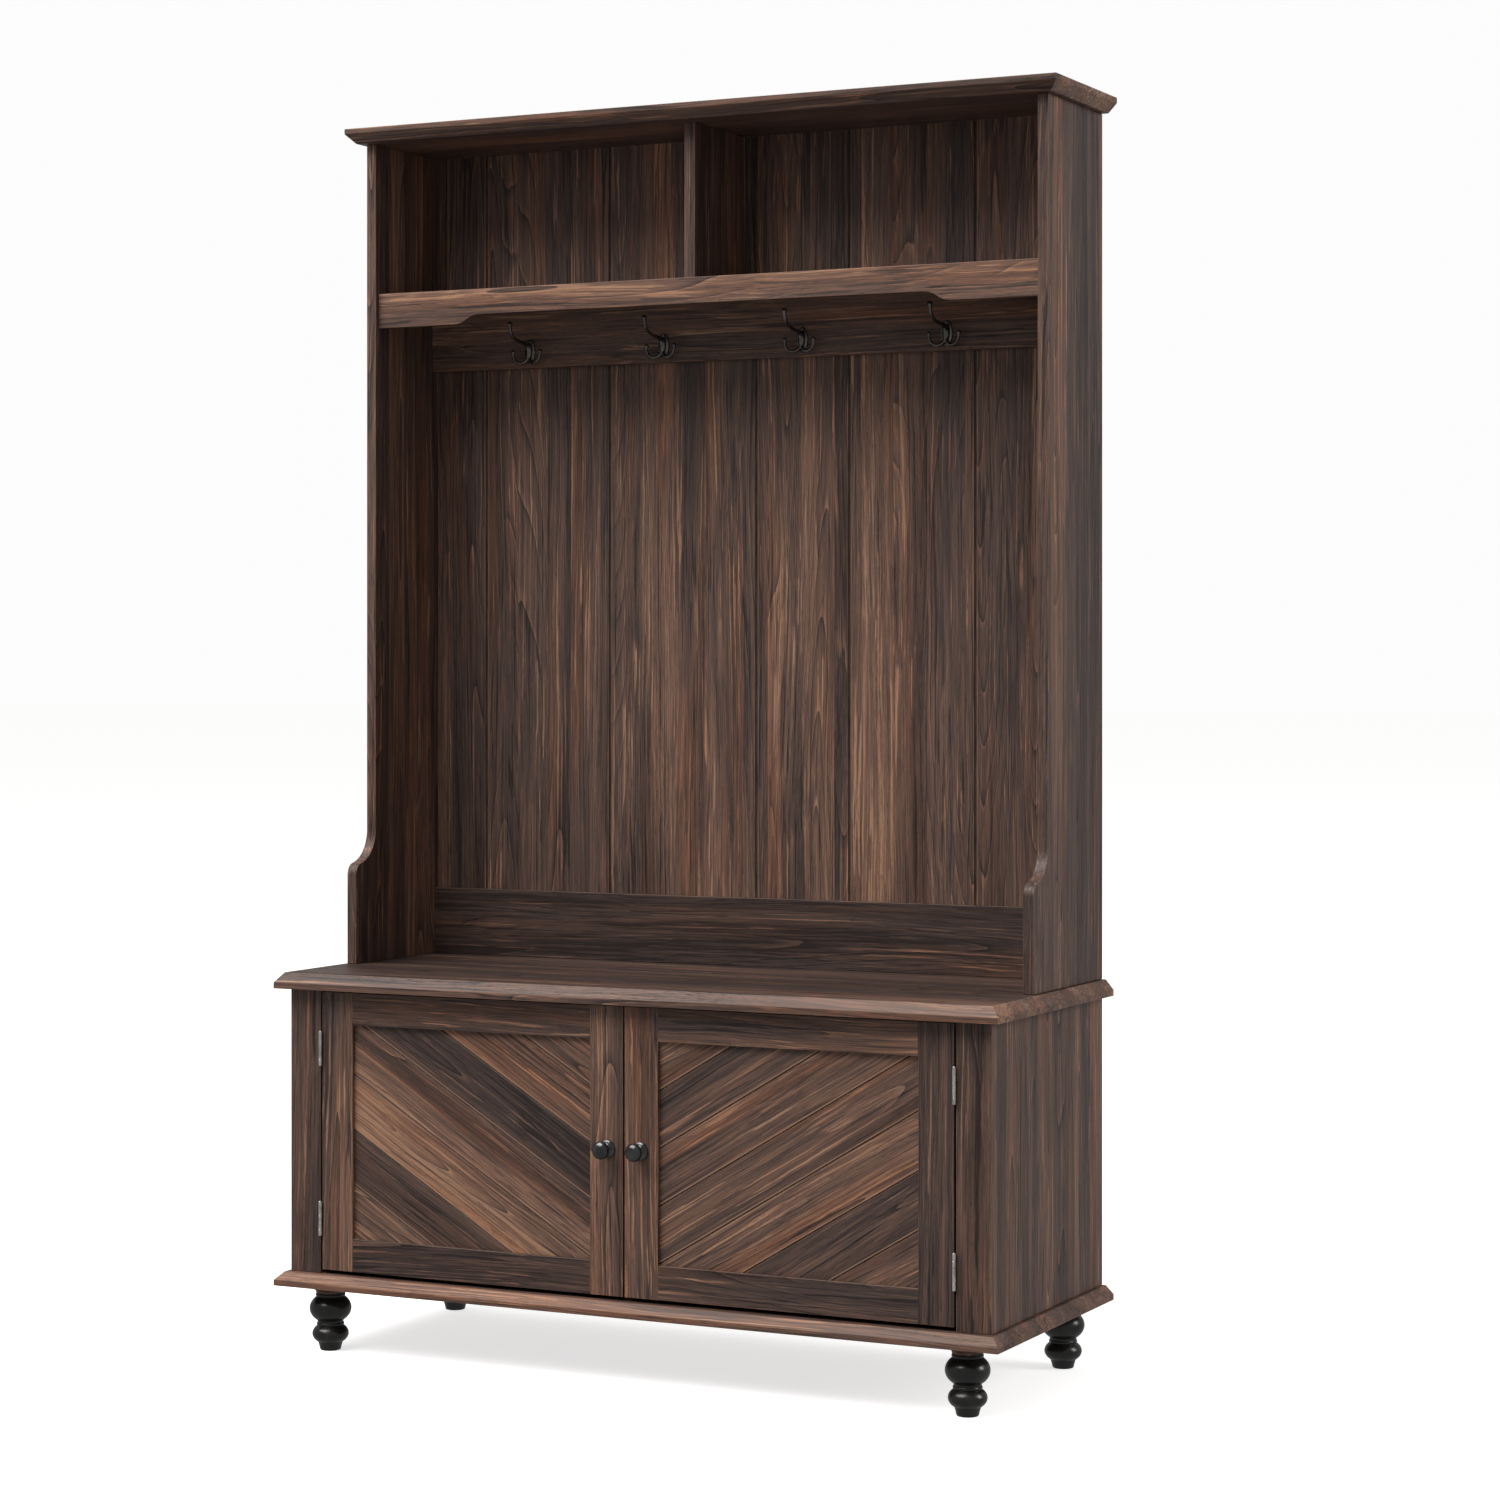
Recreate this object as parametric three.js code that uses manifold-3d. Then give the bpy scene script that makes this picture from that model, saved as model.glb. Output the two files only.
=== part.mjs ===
// A hall tree: a bench cabinet with two hinged doors on turned feet, and above it an open hutch with
// a back panel, a rail of coat hooks and two cubbies under the top board.
//
// Millimetres. X runs to the right, Y from the doors towards the wall, Z up, and the floor is Z = 0.
// Pieces are laid out from the doors' front plane (Y = 0). The assembly group then moves them back,
// so that the origin is under the middle of the whole object.

import * as THREE from "three";
import { mergeVertices } from "three/addons/utils/BufferGeometryUtils.js";
import Module from "manifold-3d";

const wasm = await Module();
wasm.setup();

// ---------------------------------------------------------------- driving dimensions

const fit = 0.3; // gap between pieces that touch
const overshoot = 5; // how far a cutter runs past what it cuts

const overallHeight = 1820;
const cabinetWidth = 1110; // over the two side panels
const cabinetDepth = 418; // door front to rear edge
const sideThickness = 16;

// Moulded boards: a vertical lip, and a bevel that runs in from it on the front and both ends.
const bevelRun = 12;
const seatSideOverhang = 17.5;
const seatFrontOverhang = 20.5;
const seatHeight = 556; // top of the seat board
const seatThickness = 23.5;
const seatLip = 9.2;
const baseBoardThickness = 20.5;
const baseBoardLip = 8.5;
const topSideOverhang = 22.5;
const topFrontOverhang = 28;
const topThickness = 22;
const topLip = 8;
const topBevelRun = 13;

// Cabinet carcass
const stileFaceWidth = 51.5; // face-frame stile beside each door
const frameThickness = 18; // face-frame stiles and door frames
const cabinetBackThickness = 5;
const cabinetBackInset = 10;
const partitionThickness = 16;
const partitionClearance = 6; // between the doors' backs and the partition's front edge

// Doors
const doorTopReveal = 3; // gap below the seat board
const doorBottomReveal = 5.6; // gap above the base board
const meetingGap = 3.2; // gap between the two doors
const doorStileWidth = 52;
const doorTopRailWidth = 47;
const doorBottomRailWidth = 48;
const panelRecess = 6.5; // panel's face behind the frame's face
const panelThickness = 7;
const panelGrooveDepth = 8;
const plankAngle = THREE.MathUtils.degToRad(31); // seams rise away from the meeting stiles
const plankWidth = 69;
const firstSeamDrop = 68.5; // first seam below the top rail, at the meeting stile
const seamDepth = 1.2;
const seamWidth = 2.4;

// Butt hinges, with knuckles standing proud of the door fronts
const hingeLength = 50;
const hingeKnuckles = 5;
const knuckleRadius = 2.7;
const knuckleBoreRadius = 1.45;
const hingePinRadius = 1.2;
const hingePinHeadRadius = 2.2;
const hingePinHeadHeight = 1;
const leafThickness = 1;
const leafDepth = 17; // leaf from the pin axis into the gap
const leafGap = 0.4; // between the two leaves of a closed hinge
const leafClearance = 0.3; // between a leaf and the other leaf's knuckles
const upperHingeDrop = 83.5; // middle of the upper hinge below the door's top
const lowerHingeRise = 74.5; // middle of the lower hinge above the door's bottom

// Knobs and the screws that hold them
const knobRise = 2.8; // above the door's middle
const knobInset = 24.5; // from the door's meeting edge
const knobProjection = 28;
const knobBallRadius = 12.8;
const knobBallHalfDepth = 8;
const knobBaseRadius = 12.8;
const knobNeckRadius = 5;
const knobBaseThickness = 5;
const knobHoleRadius = 2.4;
const knobHoleDepth = 14;
const screwRadius = 2;
const screwBoreRadius = 2.6;
const screwReach = 11; // into the knob
const screwHeadRadius = 4.2;
const screwHeadHeight = 2.2;

// Magnetic catches on the partition, and strike plates on the doors
const catchDrop = 42; // catch centre below the seat board
const catchWidth = 12;
const catchHeight = 16;
const catchLength = 40;
const catchFlangeHeight = 44;
const catchFlangeThickness = 2;
const catchHoleRadius = 1.8;
const catchHoleSpacing = 32;
const strikeThickness = 1.2;
const strikeWidth = 14;
const strikeHeight = 36;
const strikeHoleRadius = 2;

// Hutch
const hutchSetback = 205.5; // hutch sides' front edge behind the door fronts
const armReach = 54.5; // arm's front edge before the hutch sides' front edge
const armSweepRadius = 50; // concave sweep above the arm
const armNoseRadius = 18; // convex nose on top of the arm
const armSweepTop = 201; // top of the sweep above the seat
const backPanelThickness = 6;
const backPanelInset = 26; // back panel's rear face before the rear edge
const hookRailThickness = 17;
const hookRailHeight = 91;
const seatRailThickness = 10;
const seatRailHeight = 102.5;
const shelfDrop = 249; // shelf's top below the top of the hall tree
const shelfThickness = 16;
const apronSetback = 8; // apron's face behind the hutch sides' front edges
const apronThickness = 16;
const apronEndHeight = 52;
const apronMiddleHeight = 38;
const apronEndLength = 133; // full-height length at each end
const apronOgeeLength = 44;
const dividerThickness = 17.5;
const dividerSetback = 15;
const dividerShift = -10; // middle of the divider, left of the middle of the hall tree
// Board joints scored in the back panel, from the middle of the hall tree
const backJoints = [-450, -232, 17, 170, 371];
const backJointDepth = 1.5;
const backJointWidth = 3;

// Coat hooks: one long upper prong and two short lower ones on a leaf-shaped plate
const hookCount = 4;
const hookSpacing = 232;
const hookRowShift = -14; // middle of the row, left of the middle of the hall tree
const hookRootHeight = 37.5; // root of the upper prong above the rail's lower edge
const hookPlateWidth = 18;
const hookPlateHeight = 38;
const hookPlateThickness = 3;
const hookPlateDrop = 13; // plate's middle below the upper prong's root
const upperProngRadius = 3.1;
const upperTipRadius = 4.5;
const lowerProngRadius = 2.7;
const lowerTipRadius = 3.8;
const prongSides = 8;
const upperProngReach = 63;
const upperProngRise = 24;
const lowerProngSpread = 23.5;

// Feet
const footSideInset = 48; // foot axis from the side panel's outer face
const footEndInset = 32; // foot axis from the door fronts and from the rear edge
const collarHeight = 12.4;
const footFloorRadius = 15.3;
const footStepRadius = 18.4;
const footStepHeight = 11.9;
const lowerBallHalfHeight = 17;
const lowerBallRadius = 26.8;
const neckBeadRadius = 20.2;
const neckBeadHeight = 4.4;
const footNeckRadius = 19.3;
const footNeckHeight = 3;
const mainBallHalfHeight = 23;
const mainBallRadius = 30.8;
const topBeadRadius = 21.8;
const topBeadHeight = 5.9;
const footTopRadius = 20.9;
const collarLowerRadius = 21.5;
const collarUpperRadius = 32;
const footSegments = 18;

// ---------------------------------------------------------------- turned profiles

// Points on an ellipse of revolution that starts at a height and a radius, swells to its greatest
// radius, and closes to another radius.
function bulge(start, halfHeight, maxRadius, lowerRadius, upperRadius, steps) {
  const from = -Math.acos(lowerRadius / maxRadius);
  const to = Math.acos(upperRadius / maxRadius);
  const middle = start - halfHeight * Math.sin(from);
  const points = [];
  for (let i = 0; i <= steps; i++) {
    const angle = from + ((to - from) * i) / steps;
    points.push([maxRadius * Math.cos(angle), middle + halfHeight * Math.sin(angle)]);
  }
  return points;
}

// The foot from the floor up: a tapered sole, a ball, a bead, a neck, a larger ball and a bead.
function footProfile() {
  const soleRound = 1.5;
  const points = [
    [0, 0],
    [footFloorRadius - soleRound, 0],
    [footFloorRadius, soleRound],
    [footStepRadius, footStepHeight],
  ];
  const height = () => points.at(-1)[1];
  points.push(
    ...bulge(
      height() + fit,
      lowerBallHalfHeight,
      lowerBallRadius,
      footStepRadius,
      footNeckRadius,
      6,
    ),
  );
  const bead = height();
  points.push([neckBeadRadius, bead + neckBeadHeight / 3]);
  points.push([neckBeadRadius, bead + (neckBeadHeight * 2) / 3]);
  points.push([footNeckRadius, bead + neckBeadHeight]);
  points.push(
    ...bulge(
      height() + footNeckHeight,
      mainBallHalfHeight,
      mainBallRadius,
      footNeckRadius,
      footTopRadius,
      8,
    ),
  );
  const top = height();
  points.push([topBeadRadius, top + topBeadHeight / 3]);
  points.push([topBeadRadius, top + (topBeadHeight * 2) / 3]);
  points.push([footTopRadius, top + topBeadHeight]);
  points.push([0, top + topBeadHeight]);
  return points;
}

// ---------------------------------------------------------------- places worked out from them

const halfWidth = cabinetWidth / 2;
const seatUnderside = seatHeight - seatThickness;
const footHeight = footProfile().at(-1)[1];
const baseBoardTop = footHeight + collarHeight + baseBoardThickness;
const baseBoardUnderside = baseBoardTop - baseBoardThickness;
const topUnderside = overallHeight - topThickness;
const hutchInnerHalf = halfWidth - sideThickness - fit;
const armFront = hutchSetback - armReach;
const backPanelFront = cabinetDepth - backPanelInset - backPanelThickness;
const shelfTop = overallHeight - shelfDrop;
const shelfUnderside = shelfTop - shelfThickness;
const apronFront = hutchSetback + apronSetback;
const apronBack = apronFront + apronThickness;
const hookRailTop = shelfUnderside - fit;
const hookRailBottom = hookRailTop - hookRailHeight;
const hookRailFront = backPanelFront - fit - hookRailThickness;
const doorBottom = baseBoardTop + doorBottomReveal;
const doorTop = seatUnderside - doorTopReveal;
const doorMiddle = (doorBottom + doorTop) / 2;
const hingeGap = 2 * leafThickness + leafGap + 2 * fit; // between a door and its face-frame stile
const hingeLine = halfWidth - stileFaceWidth - hingeGap / 2; // each pin from the middle
const hingeAxisForward = knuckleRadius + fit; // pin axis in front of the door fronts
const doorOuterEdge = hingeLine - hingeGap / 2;
const doorInnerEdge = meetingGap / 2;
const panelOuterEdge = doorOuterEdge - doorStileWidth;
const panelInnerEdge = doorInnerEdge + doorStileWidth;
const panelTop = doorTop - doorTopRailWidth;
const panelBottom = doorBottom + doorBottomRailWidth;
const frontmost = -Math.max(knobProjection, seatFrontOverhang);
const middleDepth = (frontmost + cabinetDepth) / 2;

// ---------------------------------------------------------------- materials

function finish(color, roughness, metalness) {
  return new THREE.MeshStandardMaterial({ color, roughness, metalness });
}

const walnut = finish(0x5d4337, 0.5, 0);
const walnutPanel = finish(0x6b4a39, 0.5, 0);
const hardboard = finish(0x4a3a32, 0.7, 0);
const blackGloss = finish(0x141312, 0.22, 0);
const blackMetal = finish(0x181716, 0.35, 0.6);
const steel = finish(0xb9bcbf, 0.3, 1);

// ---------------------------------------------------------------- building blocks

const assembly = new THREE.Group();
assembly.position.y = -middleDepth;

function add(name, geometry, material) {
  const mesh = new THREE.Mesh(geometry, material);
  mesh.name = name;
  assembly.add(mesh);
  return mesh;
}

// A geometry as a solid that can be joined and cut, and back again.
function toSolid(geometry) {
  const bare = geometry.index ? geometry.toNonIndexed() : geometry.clone();
  bare.deleteAttribute("normal");
  bare.deleteAttribute("uv");
  const merged = mergeVertices(bare, 1e-3);
  return new wasm.Manifold(
    new wasm.Mesh({
      numProp: 3,
      vertProperties: merged.attributes.position.array,
      triVerts: new Uint32Array(merged.index.array),
    }),
  );
}

function toGeometry(solid) {
  const { numProp, vertProperties, triVerts } = solid.getMesh();
  const position = new Float32Array((vertProperties.length / numProp) * 3);
  for (let i = 0; i * numProp < vertProperties.length; i++) {
    position.set(vertProperties.subarray(i * numProp, i * numProp + 3), i * 3);
  }
  const geometry = new THREE.BufferGeometry();
  geometry.setAttribute("position", new THREE.BufferAttribute(position, 3));
  geometry.setIndex(new THREE.BufferAttribute(new Uint32Array(triVerts), 1));
  geometry.computeVertexNormals();
  return geometry;
}

function join(...geometries) {
  return toGeometry(geometries.map(toSolid).reduce((sum, next) => sum.add(next)));
}

function cut(geometry, ...cutters) {
  return toGeometry(cutters.map(toSolid).reduce((rest, next) => rest.subtract(next), toSolid(geometry)));
}

// A block between two corners.
function block([x0, y0, z0], [x1, y1, z1]) {
  const geometry = new THREE.BoxGeometry(x1 - x0, y1 - y0, z1 - z0);
  geometry.translate((x0 + x1) / 2, (y0 + y1) / 2, (z0 + z1) / 2);
  return geometry;
}

function extrude(shape, depth, curveSegments = 8) {
  return new THREE.ExtrudeGeometry(shape, { depth, curveSegments, bevelEnabled: false, steps: 1 });
}

// An outline in the Y-Z plane, extruded along X from x0 to x1.
function alongX(shape, x0, x1) {
  const geometry = extrude(shape, x1 - x0);
  const axes = new THREE.Matrix4().makeBasis(
    new THREE.Vector3(0, 1, 0),
    new THREE.Vector3(0, 0, 1),
    new THREE.Vector3(1, 0, 0),
  );
  geometry.applyMatrix4(axes);
  geometry.translate(x0, 0, 0);
  return geometry;
}

// An outline in the X-Z plane, extruded along Y from y0 back to y1.
function alongY(shape, y0, y1) {
  const geometry = extrude(shape, y1 - y0);
  geometry.rotateX(Math.PI / 2);
  geometry.translate(0, y1, 0);
  return geometry;
}

// An outline in the X-Y plane, extruded up from z0 to z1.
function alongZ(shape, z0, z1) {
  const geometry = extrude(shape, z1 - z0);
  geometry.translate(0, 0, z0);
  return geometry;
}

function outline(points) {
  return new THREE.Shape(points.map(([u, v]) => new THREE.Vector2(u, v)));
}

// A closed profile of [radius, height] points turned about a vertical axis.
function turned(profile, segments) {
  const geometry = new THREE.LatheGeometry(
    profile.map(([r, h]) => new THREE.Vector2(r, h)),
    segments,
  );
  geometry.rotateX(Math.PI / 2);
  return geometry;
}

function cylinder(radius, z0, z1, segments) {
  const geometry = new THREE.CylinderGeometry(radius, radius, z1 - z0, segments);
  geometry.rotateX(Math.PI / 2);
  geometry.translate(0, 0, (z0 + z1) / 2);
  return geometry;
}

// A board whose front and two ends follow a profile of [inset, height] levels, from the bottom up.
// The rear edge stays square.
function mouldedBoard(halfLength, front, rear, levels) {
  const positions = [];
  for (const [inset, height] of levels) {
    positions.push(
      [-(halfLength - inset), front + inset, height],
      [halfLength - inset, front + inset, height],
      [halfLength - inset, rear, height],
      [-(halfLength - inset), rear, height],
    );
  }
  const faces = [[0, 2, 1], [0, 3, 2]];
  for (let level = 0; level + 1 < levels.length; level++) {
    for (let corner = 0; corner < 4; corner++) {
      const a = level * 4 + corner;
      const b = level * 4 + ((corner + 1) % 4);
      faces.push([a, b, b + 4], [a, b + 4, a + 4]);
    }
  }
  const last = (levels.length - 1) * 4;
  faces.push([last, last + 1, last + 2], [last, last + 2, last + 3]);
  const geometry = new THREE.BufferGeometry();
  geometry.setAttribute("position", new THREE.Float32BufferAttribute(positions.flat(), 3));
  geometry.setIndex(faces.flat());
  geometry.computeVertexNormals();
  return geometry;
}

// A copy turned over to the other side of the hall tree.
function mirrored(geometry) {
  const copy = geometry.index ? geometry.toNonIndexed() : geometry.clone();
  const place = copy.getAttribute("position");
  for (let i = 0; i < place.count; i += 3) {
    const corners = [0, 2, 1].map((k) => new THREE.Vector3().fromBufferAttribute(place, i + k));
    corners.forEach((corner, k) => place.setXYZ(i + k, -corner.x, corner.y, corner.z));
  }
  copy.computeVertexNormals();
  return copy;
}

// Pieces are drawn for the right-hand side, and mirrored for the left.
function addPair(leftName, rightName, geometry, material) {
  add(leftName, mirrored(geometry), material);
  add(rightName, geometry, material);
}

// ---------------------------------------------------------------- base cabinet

function addCarcass() {
  const boardHalf = halfWidth + seatSideOverhang;
  add(
    "base_board",
    mouldedBoard(boardHalf, -seatFrontOverhang, cabinetDepth, [
      [0, baseBoardUnderside],
      [0, baseBoardUnderside + baseBoardLip],
      [bevelRun, baseBoardTop],
    ]),
    walnut,
  );
  add(
    "seat_board",
    mouldedBoard(boardHalf, -seatFrontOverhang, cabinetDepth, [
      [0, seatUnderside],
      [0, seatUnderside + seatLip],
      [bevelRun, seatHeight],
    ]),
    walnut,
  );
  const low = baseBoardTop + fit;
  const high = seatUnderside - fit;
  addPair(
    "cabinet_side_left",
    "cabinet_side_right",
    block([halfWidth - sideThickness, frameThickness + fit, low], [halfWidth, cabinetDepth, high]),
    walnut,
  );
  addPair(
    "face_stile_left",
    "face_stile_right",
    block([halfWidth - stileFaceWidth, 0, low], [halfWidth, frameThickness, high]),
    walnut,
  );
  const backRear = cabinetDepth - cabinetBackInset;
  const backFront = backRear - cabinetBackThickness;
  add(
    "cabinet_back",
    block([-hutchInnerHalf, backFront, low], [hutchInnerHalf, backRear, high]),
    hardboard,
  );
  add(
    "cabinet_partition",
    block(
      [-partitionThickness / 2, frameThickness + partitionClearance, low],
      [partitionThickness / 2, backFront - fit, high],
    ),
    walnut,
  );
}

// ---------------------------------------------------------------- doors

// The groove that holds the panel: its two faces, measured back from the door's front.
const grooveFront = panelRecess - fit;
const grooveBack = panelRecess + panelThickness + fit;

// A frame member's section, with the panel groove in its far edge. Width runs along u, depth along v.
function groovedSection(near, far) {
  const floor = far - Math.sign(far - near) * panelGrooveDepth;
  return [
    [near, 0],
    [far, 0],
    [far, grooveFront],
    [floor, grooveFront],
    [floor, grooveBack],
    [far, grooveBack],
    [far, frameThickness],
    [near, frameThickness],
  ];
}

function doorStile(near, far) {
  return alongZ(outline(groovedSection(near, far)), doorBottom, doorTop);
}

// A rail's ends have tenons that run into the stiles' grooves.
function doorRail(near, far) {
  const shape = outline(groovedSection(near, far).map(([width, depth]) => [depth, width]));
  const body = alongX(shape, panelInnerEdge + fit, panelOuterEdge - fit);
  const tenonReach = panelGrooveDepth - fit;
  const rootOfGroove = far - Math.sign(far - near) * (panelGrooveDepth + fit);
  const tenon = block(
    [panelInnerEdge - tenonReach, grooveFront + fit, Math.min(near, rootOfGroove)],
    [panelOuterEdge + tenonReach, grooveBack - fit, Math.max(near, rootOfGroove)],
  );
  return join(body, tenon);
}

// The panel stands in the grooves. Its face is scored into planks that rise away from the middle.
function doorPanel() {
  const reach = panelGrooveDepth - fit;
  const panel = block(
    [panelInnerEdge - reach, panelRecess, panelBottom - reach],
    [panelOuterEdge + reach, panelRecess + panelThickness, panelTop + reach],
  );
  const riseAcross = (panelOuterEdge - panelInnerEdge) * Math.tan(plankAngle);
  const dropPerPlank = plankWidth / Math.cos(plankAngle);
  const seamLength = (panelOuterEdge - panelInnerEdge) / Math.cos(plankAngle) + 4 * panelGrooveDepth;
  const section = outline([
    [panelRecess - seamDepth, -seamWidth],
    [panelRecess + seamDepth, 0],
    [panelRecess - seamDepth, seamWidth],
  ]);
  const seams = [];
  const firstSeam = panelTop - firstSeamDrop;
  for (
    let height = firstSeam + Math.ceil(riseAcross / dropPerPlank) * dropPerPlank;
    height > panelBottom - riseAcross - panelGrooveDepth;
    height -= dropPerPlank
  ) {
    const seam = alongX(section, -2 * panelGrooveDepth, seamLength - 2 * panelGrooveDepth);
    seam.rotateY(-plankAngle);
    seam.translate(panelInnerEdge, 0, height);
    seams.push(seam);
  }
  return cut(panel, ...seams);
}

const knobAcross = doorInnerEdge + knobInset;

function knobPlaced(geometry) {
  geometry.rotateX(Math.PI / 2);
  geometry.translate(knobAcross, 0, doorMiddle + knobRise);
  return geometry;
}

function addDoors() {
  const screwBore = knobPlaced(
    cylinder(screwBoreRadius, -frameThickness - overshoot, overshoot, 16),
  );
  addPair(
    "left_door_meeting_stile",
    "right_door_meeting_stile",
    cut(doorStile(doorInnerEdge, panelInnerEdge), screwBore),
    walnut,
  );
  addPair(
    "left_door_hinge_stile",
    "right_door_hinge_stile",
    doorStile(doorOuterEdge, panelOuterEdge),
    walnut,
  );
  addPair("left_door_top_rail", "right_door_top_rail", doorRail(doorTop, panelTop), walnut);
  addPair(
    "left_door_bottom_rail",
    "right_door_bottom_rail",
    doorRail(doorBottom, panelBottom),
    walnut,
  );
  addPair("left_door_panel", "right_door_panel", doorPanel(), walnutPanel);
}

// A round base, a neck and a flattened ball, with a blind hole for the screw. Height runs forward.
function addKnobs() {
  const ballRise = knobBallHalfDepth * Math.sin(Math.acos(knobNeckRadius / knobBallRadius));
  const ballStart = knobProjection - knobBallHalfDepth - ballRise;
  const knobSegments = 16;
  const baseCrown = knobBaseThickness * 0.6;
  const profile = [
    [knobHoleRadius, fit],
    [knobBaseRadius, fit],
    [knobBaseRadius, baseCrown],
    [knobBaseRadius * 0.8, knobBaseThickness],
    [knobNeckRadius, knobBaseThickness + 2 * fit],
    ...bulge(ballStart, knobBallHalfDepth, knobBallRadius, knobNeckRadius, fit, 7).slice(0, -1),
    [0, knobProjection],
    [0, knobHoleDepth],
    [knobHoleRadius, knobHoleDepth],
    [knobHoleRadius, fit],
  ];
  addPair(
    "left_door_knob",
    "right_door_knob",
    knobPlaced(turned(profile, knobSegments)),
    blackGloss,
  );
  const headBack = -frameThickness - fit;
  const screw = [
    [0, headBack - screwHeadHeight],
    [screwHeadRadius * 0.7, headBack - screwHeadHeight],
    [screwHeadRadius, headBack - screwHeadHeight / 3],
    [screwHeadRadius, headBack],
    [screwRadius, headBack],
    [screwRadius, screwReach],
    [0, screwReach],
  ];
  addPair(
    "left_knob_screw",
    "right_knob_screw",
    knobPlaced(turned(screw, 12)),
    steel,
  );
}

// ---------------------------------------------------------------- hinges

const knuckleLength = hingeLength / hingeKnuckles;

// One leaf with its own knuckles, cut away round the other leaf's knuckles. The pin axis is the
// local Z axis, the leaf runs back along Y, and side is -1 for the cabinet's leaf nearer the
// outside of the door on the drawn (right-hand) side, +1 for the door's.
function hingeLeaf(ownKnuckles, side) {
  const near = (side * leafGap) / 2;
  const far = near + side * leafThickness;
  const plate = block(
    [Math.min(near, far), 0, -hingeLength / 2],
    [Math.max(near, far), leafDepth, hingeLength / 2],
  );
  const knuckles = [];
  const clearances = [cylinder(knuckleBoreRadius, -hingeLength, hingeLength, 12)];
  for (let i = 0; i < hingeKnuckles; i++) {
    const low = -hingeLength / 2 + i * knuckleLength;
    if (i % 2 === ownKnuckles) {
      knuckles.push(cylinder(knuckleRadius, low + fit / 2, low + knuckleLength - fit / 2, 12));
    } else {
      clearances.push(
        cylinder(knuckleRadius + leafClearance, low - fit / 2, low + knuckleLength + fit / 2, 12),
      );
    }
  }
  return cut(join(plate, ...knuckles), ...clearances);
}

function hingePin() {
  const top = hingeLength / 2;
  return turned(
    [
      [0, -top],
      [hingePinRadius, -top],
      [hingePinRadius, top + fit],
      [hingePinHeadRadius, top + fit],
      [hingePinHeadRadius * 0.7, top + fit + hingePinHeadHeight],
      [0, top + fit + hingePinHeadHeight],
    ],
    10,
  );
}

function addHinges() {
  const heights = { upper: doorTop - upperHingeDrop, lower: doorBottom + lowerHingeRise };
  for (const [level, height] of Object.entries(heights)) {
    const pieces = {
      cabinet_leaf: hingeLeaf(0, 1),
      door_leaf: hingeLeaf(1, -1),
      pin: hingePin(),
    };
    for (const [piece, geometry] of Object.entries(pieces)) {
      geometry.translate(hingeLine, -hingeAxisForward, height);
      addPair(
        `left_${level}_hinge_${piece}`,
        `right_${level}_hinge_${piece}`,
        geometry,
        steel,
      );
    }
  }
}

// ---------------------------------------------------------------- magnetic catches

function addCatches() {
  const middle = seatUnderside - catchDrop;
  const inner = partitionThickness / 2 + fit;
  const front = frameThickness + fit + strikeThickness + 2 * fit;
  const body = block(
    [inner, front, middle - catchHeight / 2],
    [inner + catchWidth, front + catchLength, middle + catchHeight / 2],
  );
  const flangeFront = front + catchLength / 2;
  const flange = block(
    [inner, flangeFront, middle - catchFlangeHeight / 2],
    [inner + catchFlangeThickness, front + catchLength, middle + catchFlangeHeight / 2],
  );
  const holes = [-1, 1].map((end) => {
    const hole = cylinder(catchHoleRadius, -overshoot, overshoot, 12);
    hole.rotateY(Math.PI / 2);
    hole.translate(
      inner,
      (flangeFront + front + catchLength) / 2,
      middle + (end * catchHoleSpacing) / 2,
    );
    return hole;
  });
  addPair("left_catch", "right_catch", cut(join(body, flange), ...holes), blackMetal);

  const strikeFront = frameThickness + fit;
  const strikeAcross = inner + catchWidth / 2;
  const strike = block(
    [strikeAcross - strikeWidth / 2, strikeFront, middle - strikeHeight / 2],
    [strikeAcross + strikeWidth / 2, strikeFront + strikeThickness, middle + strikeHeight / 2],
  );
  const strikeHole = cylinder(strikeHoleRadius, -overshoot, overshoot, 12);
  strikeHole.rotateX(Math.PI / 2);
  strikeHole.translate(strikeAcross, strikeFront, middle + strikeHeight / 3);
  addPair("left_strike_plate", "right_strike_plate", cut(strike, strikeHole), steel);
}

// ---------------------------------------------------------------- hutch

// The side panel's outline in the Y-Z plane. Above the arm a convex nose meets a concave sweep that
// runs up into the panel's straight front edge.
function hutchSideOutline() {
  const foot = seatHeight + fit;
  const head = topUnderside - fit;
  const sweepCentre = new THREE.Vector2(hutchSetback - armSweepRadius, seatHeight + armSweepTop);
  const across = armFront + armNoseRadius - sweepCentre.x;
  const between = armSweepRadius + armNoseRadius;
  const noseCentre = new THREE.Vector2(
    armFront + armNoseRadius,
    sweepCentre.y - Math.sqrt(between * between - across * across),
  );
  const tangent = Math.atan2(noseCentre.y - sweepCentre.y, across);
  const shape = new THREE.Shape();
  shape.moveTo(armFront, foot);
  shape.lineTo(cabinetDepth, foot);
  shape.lineTo(cabinetDepth, head);
  shape.lineTo(hutchSetback, head);
  shape.lineTo(hutchSetback, sweepCentre.y);
  shape.absarc(sweepCentre.x, sweepCentre.y, armSweepRadius, 0, tangent, true);
  shape.absarc(noseCentre.x, noseCentre.y, armNoseRadius, tangent + Math.PI, Math.PI, false);
  shape.lineTo(armFront, foot);
  return shape;
}

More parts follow.
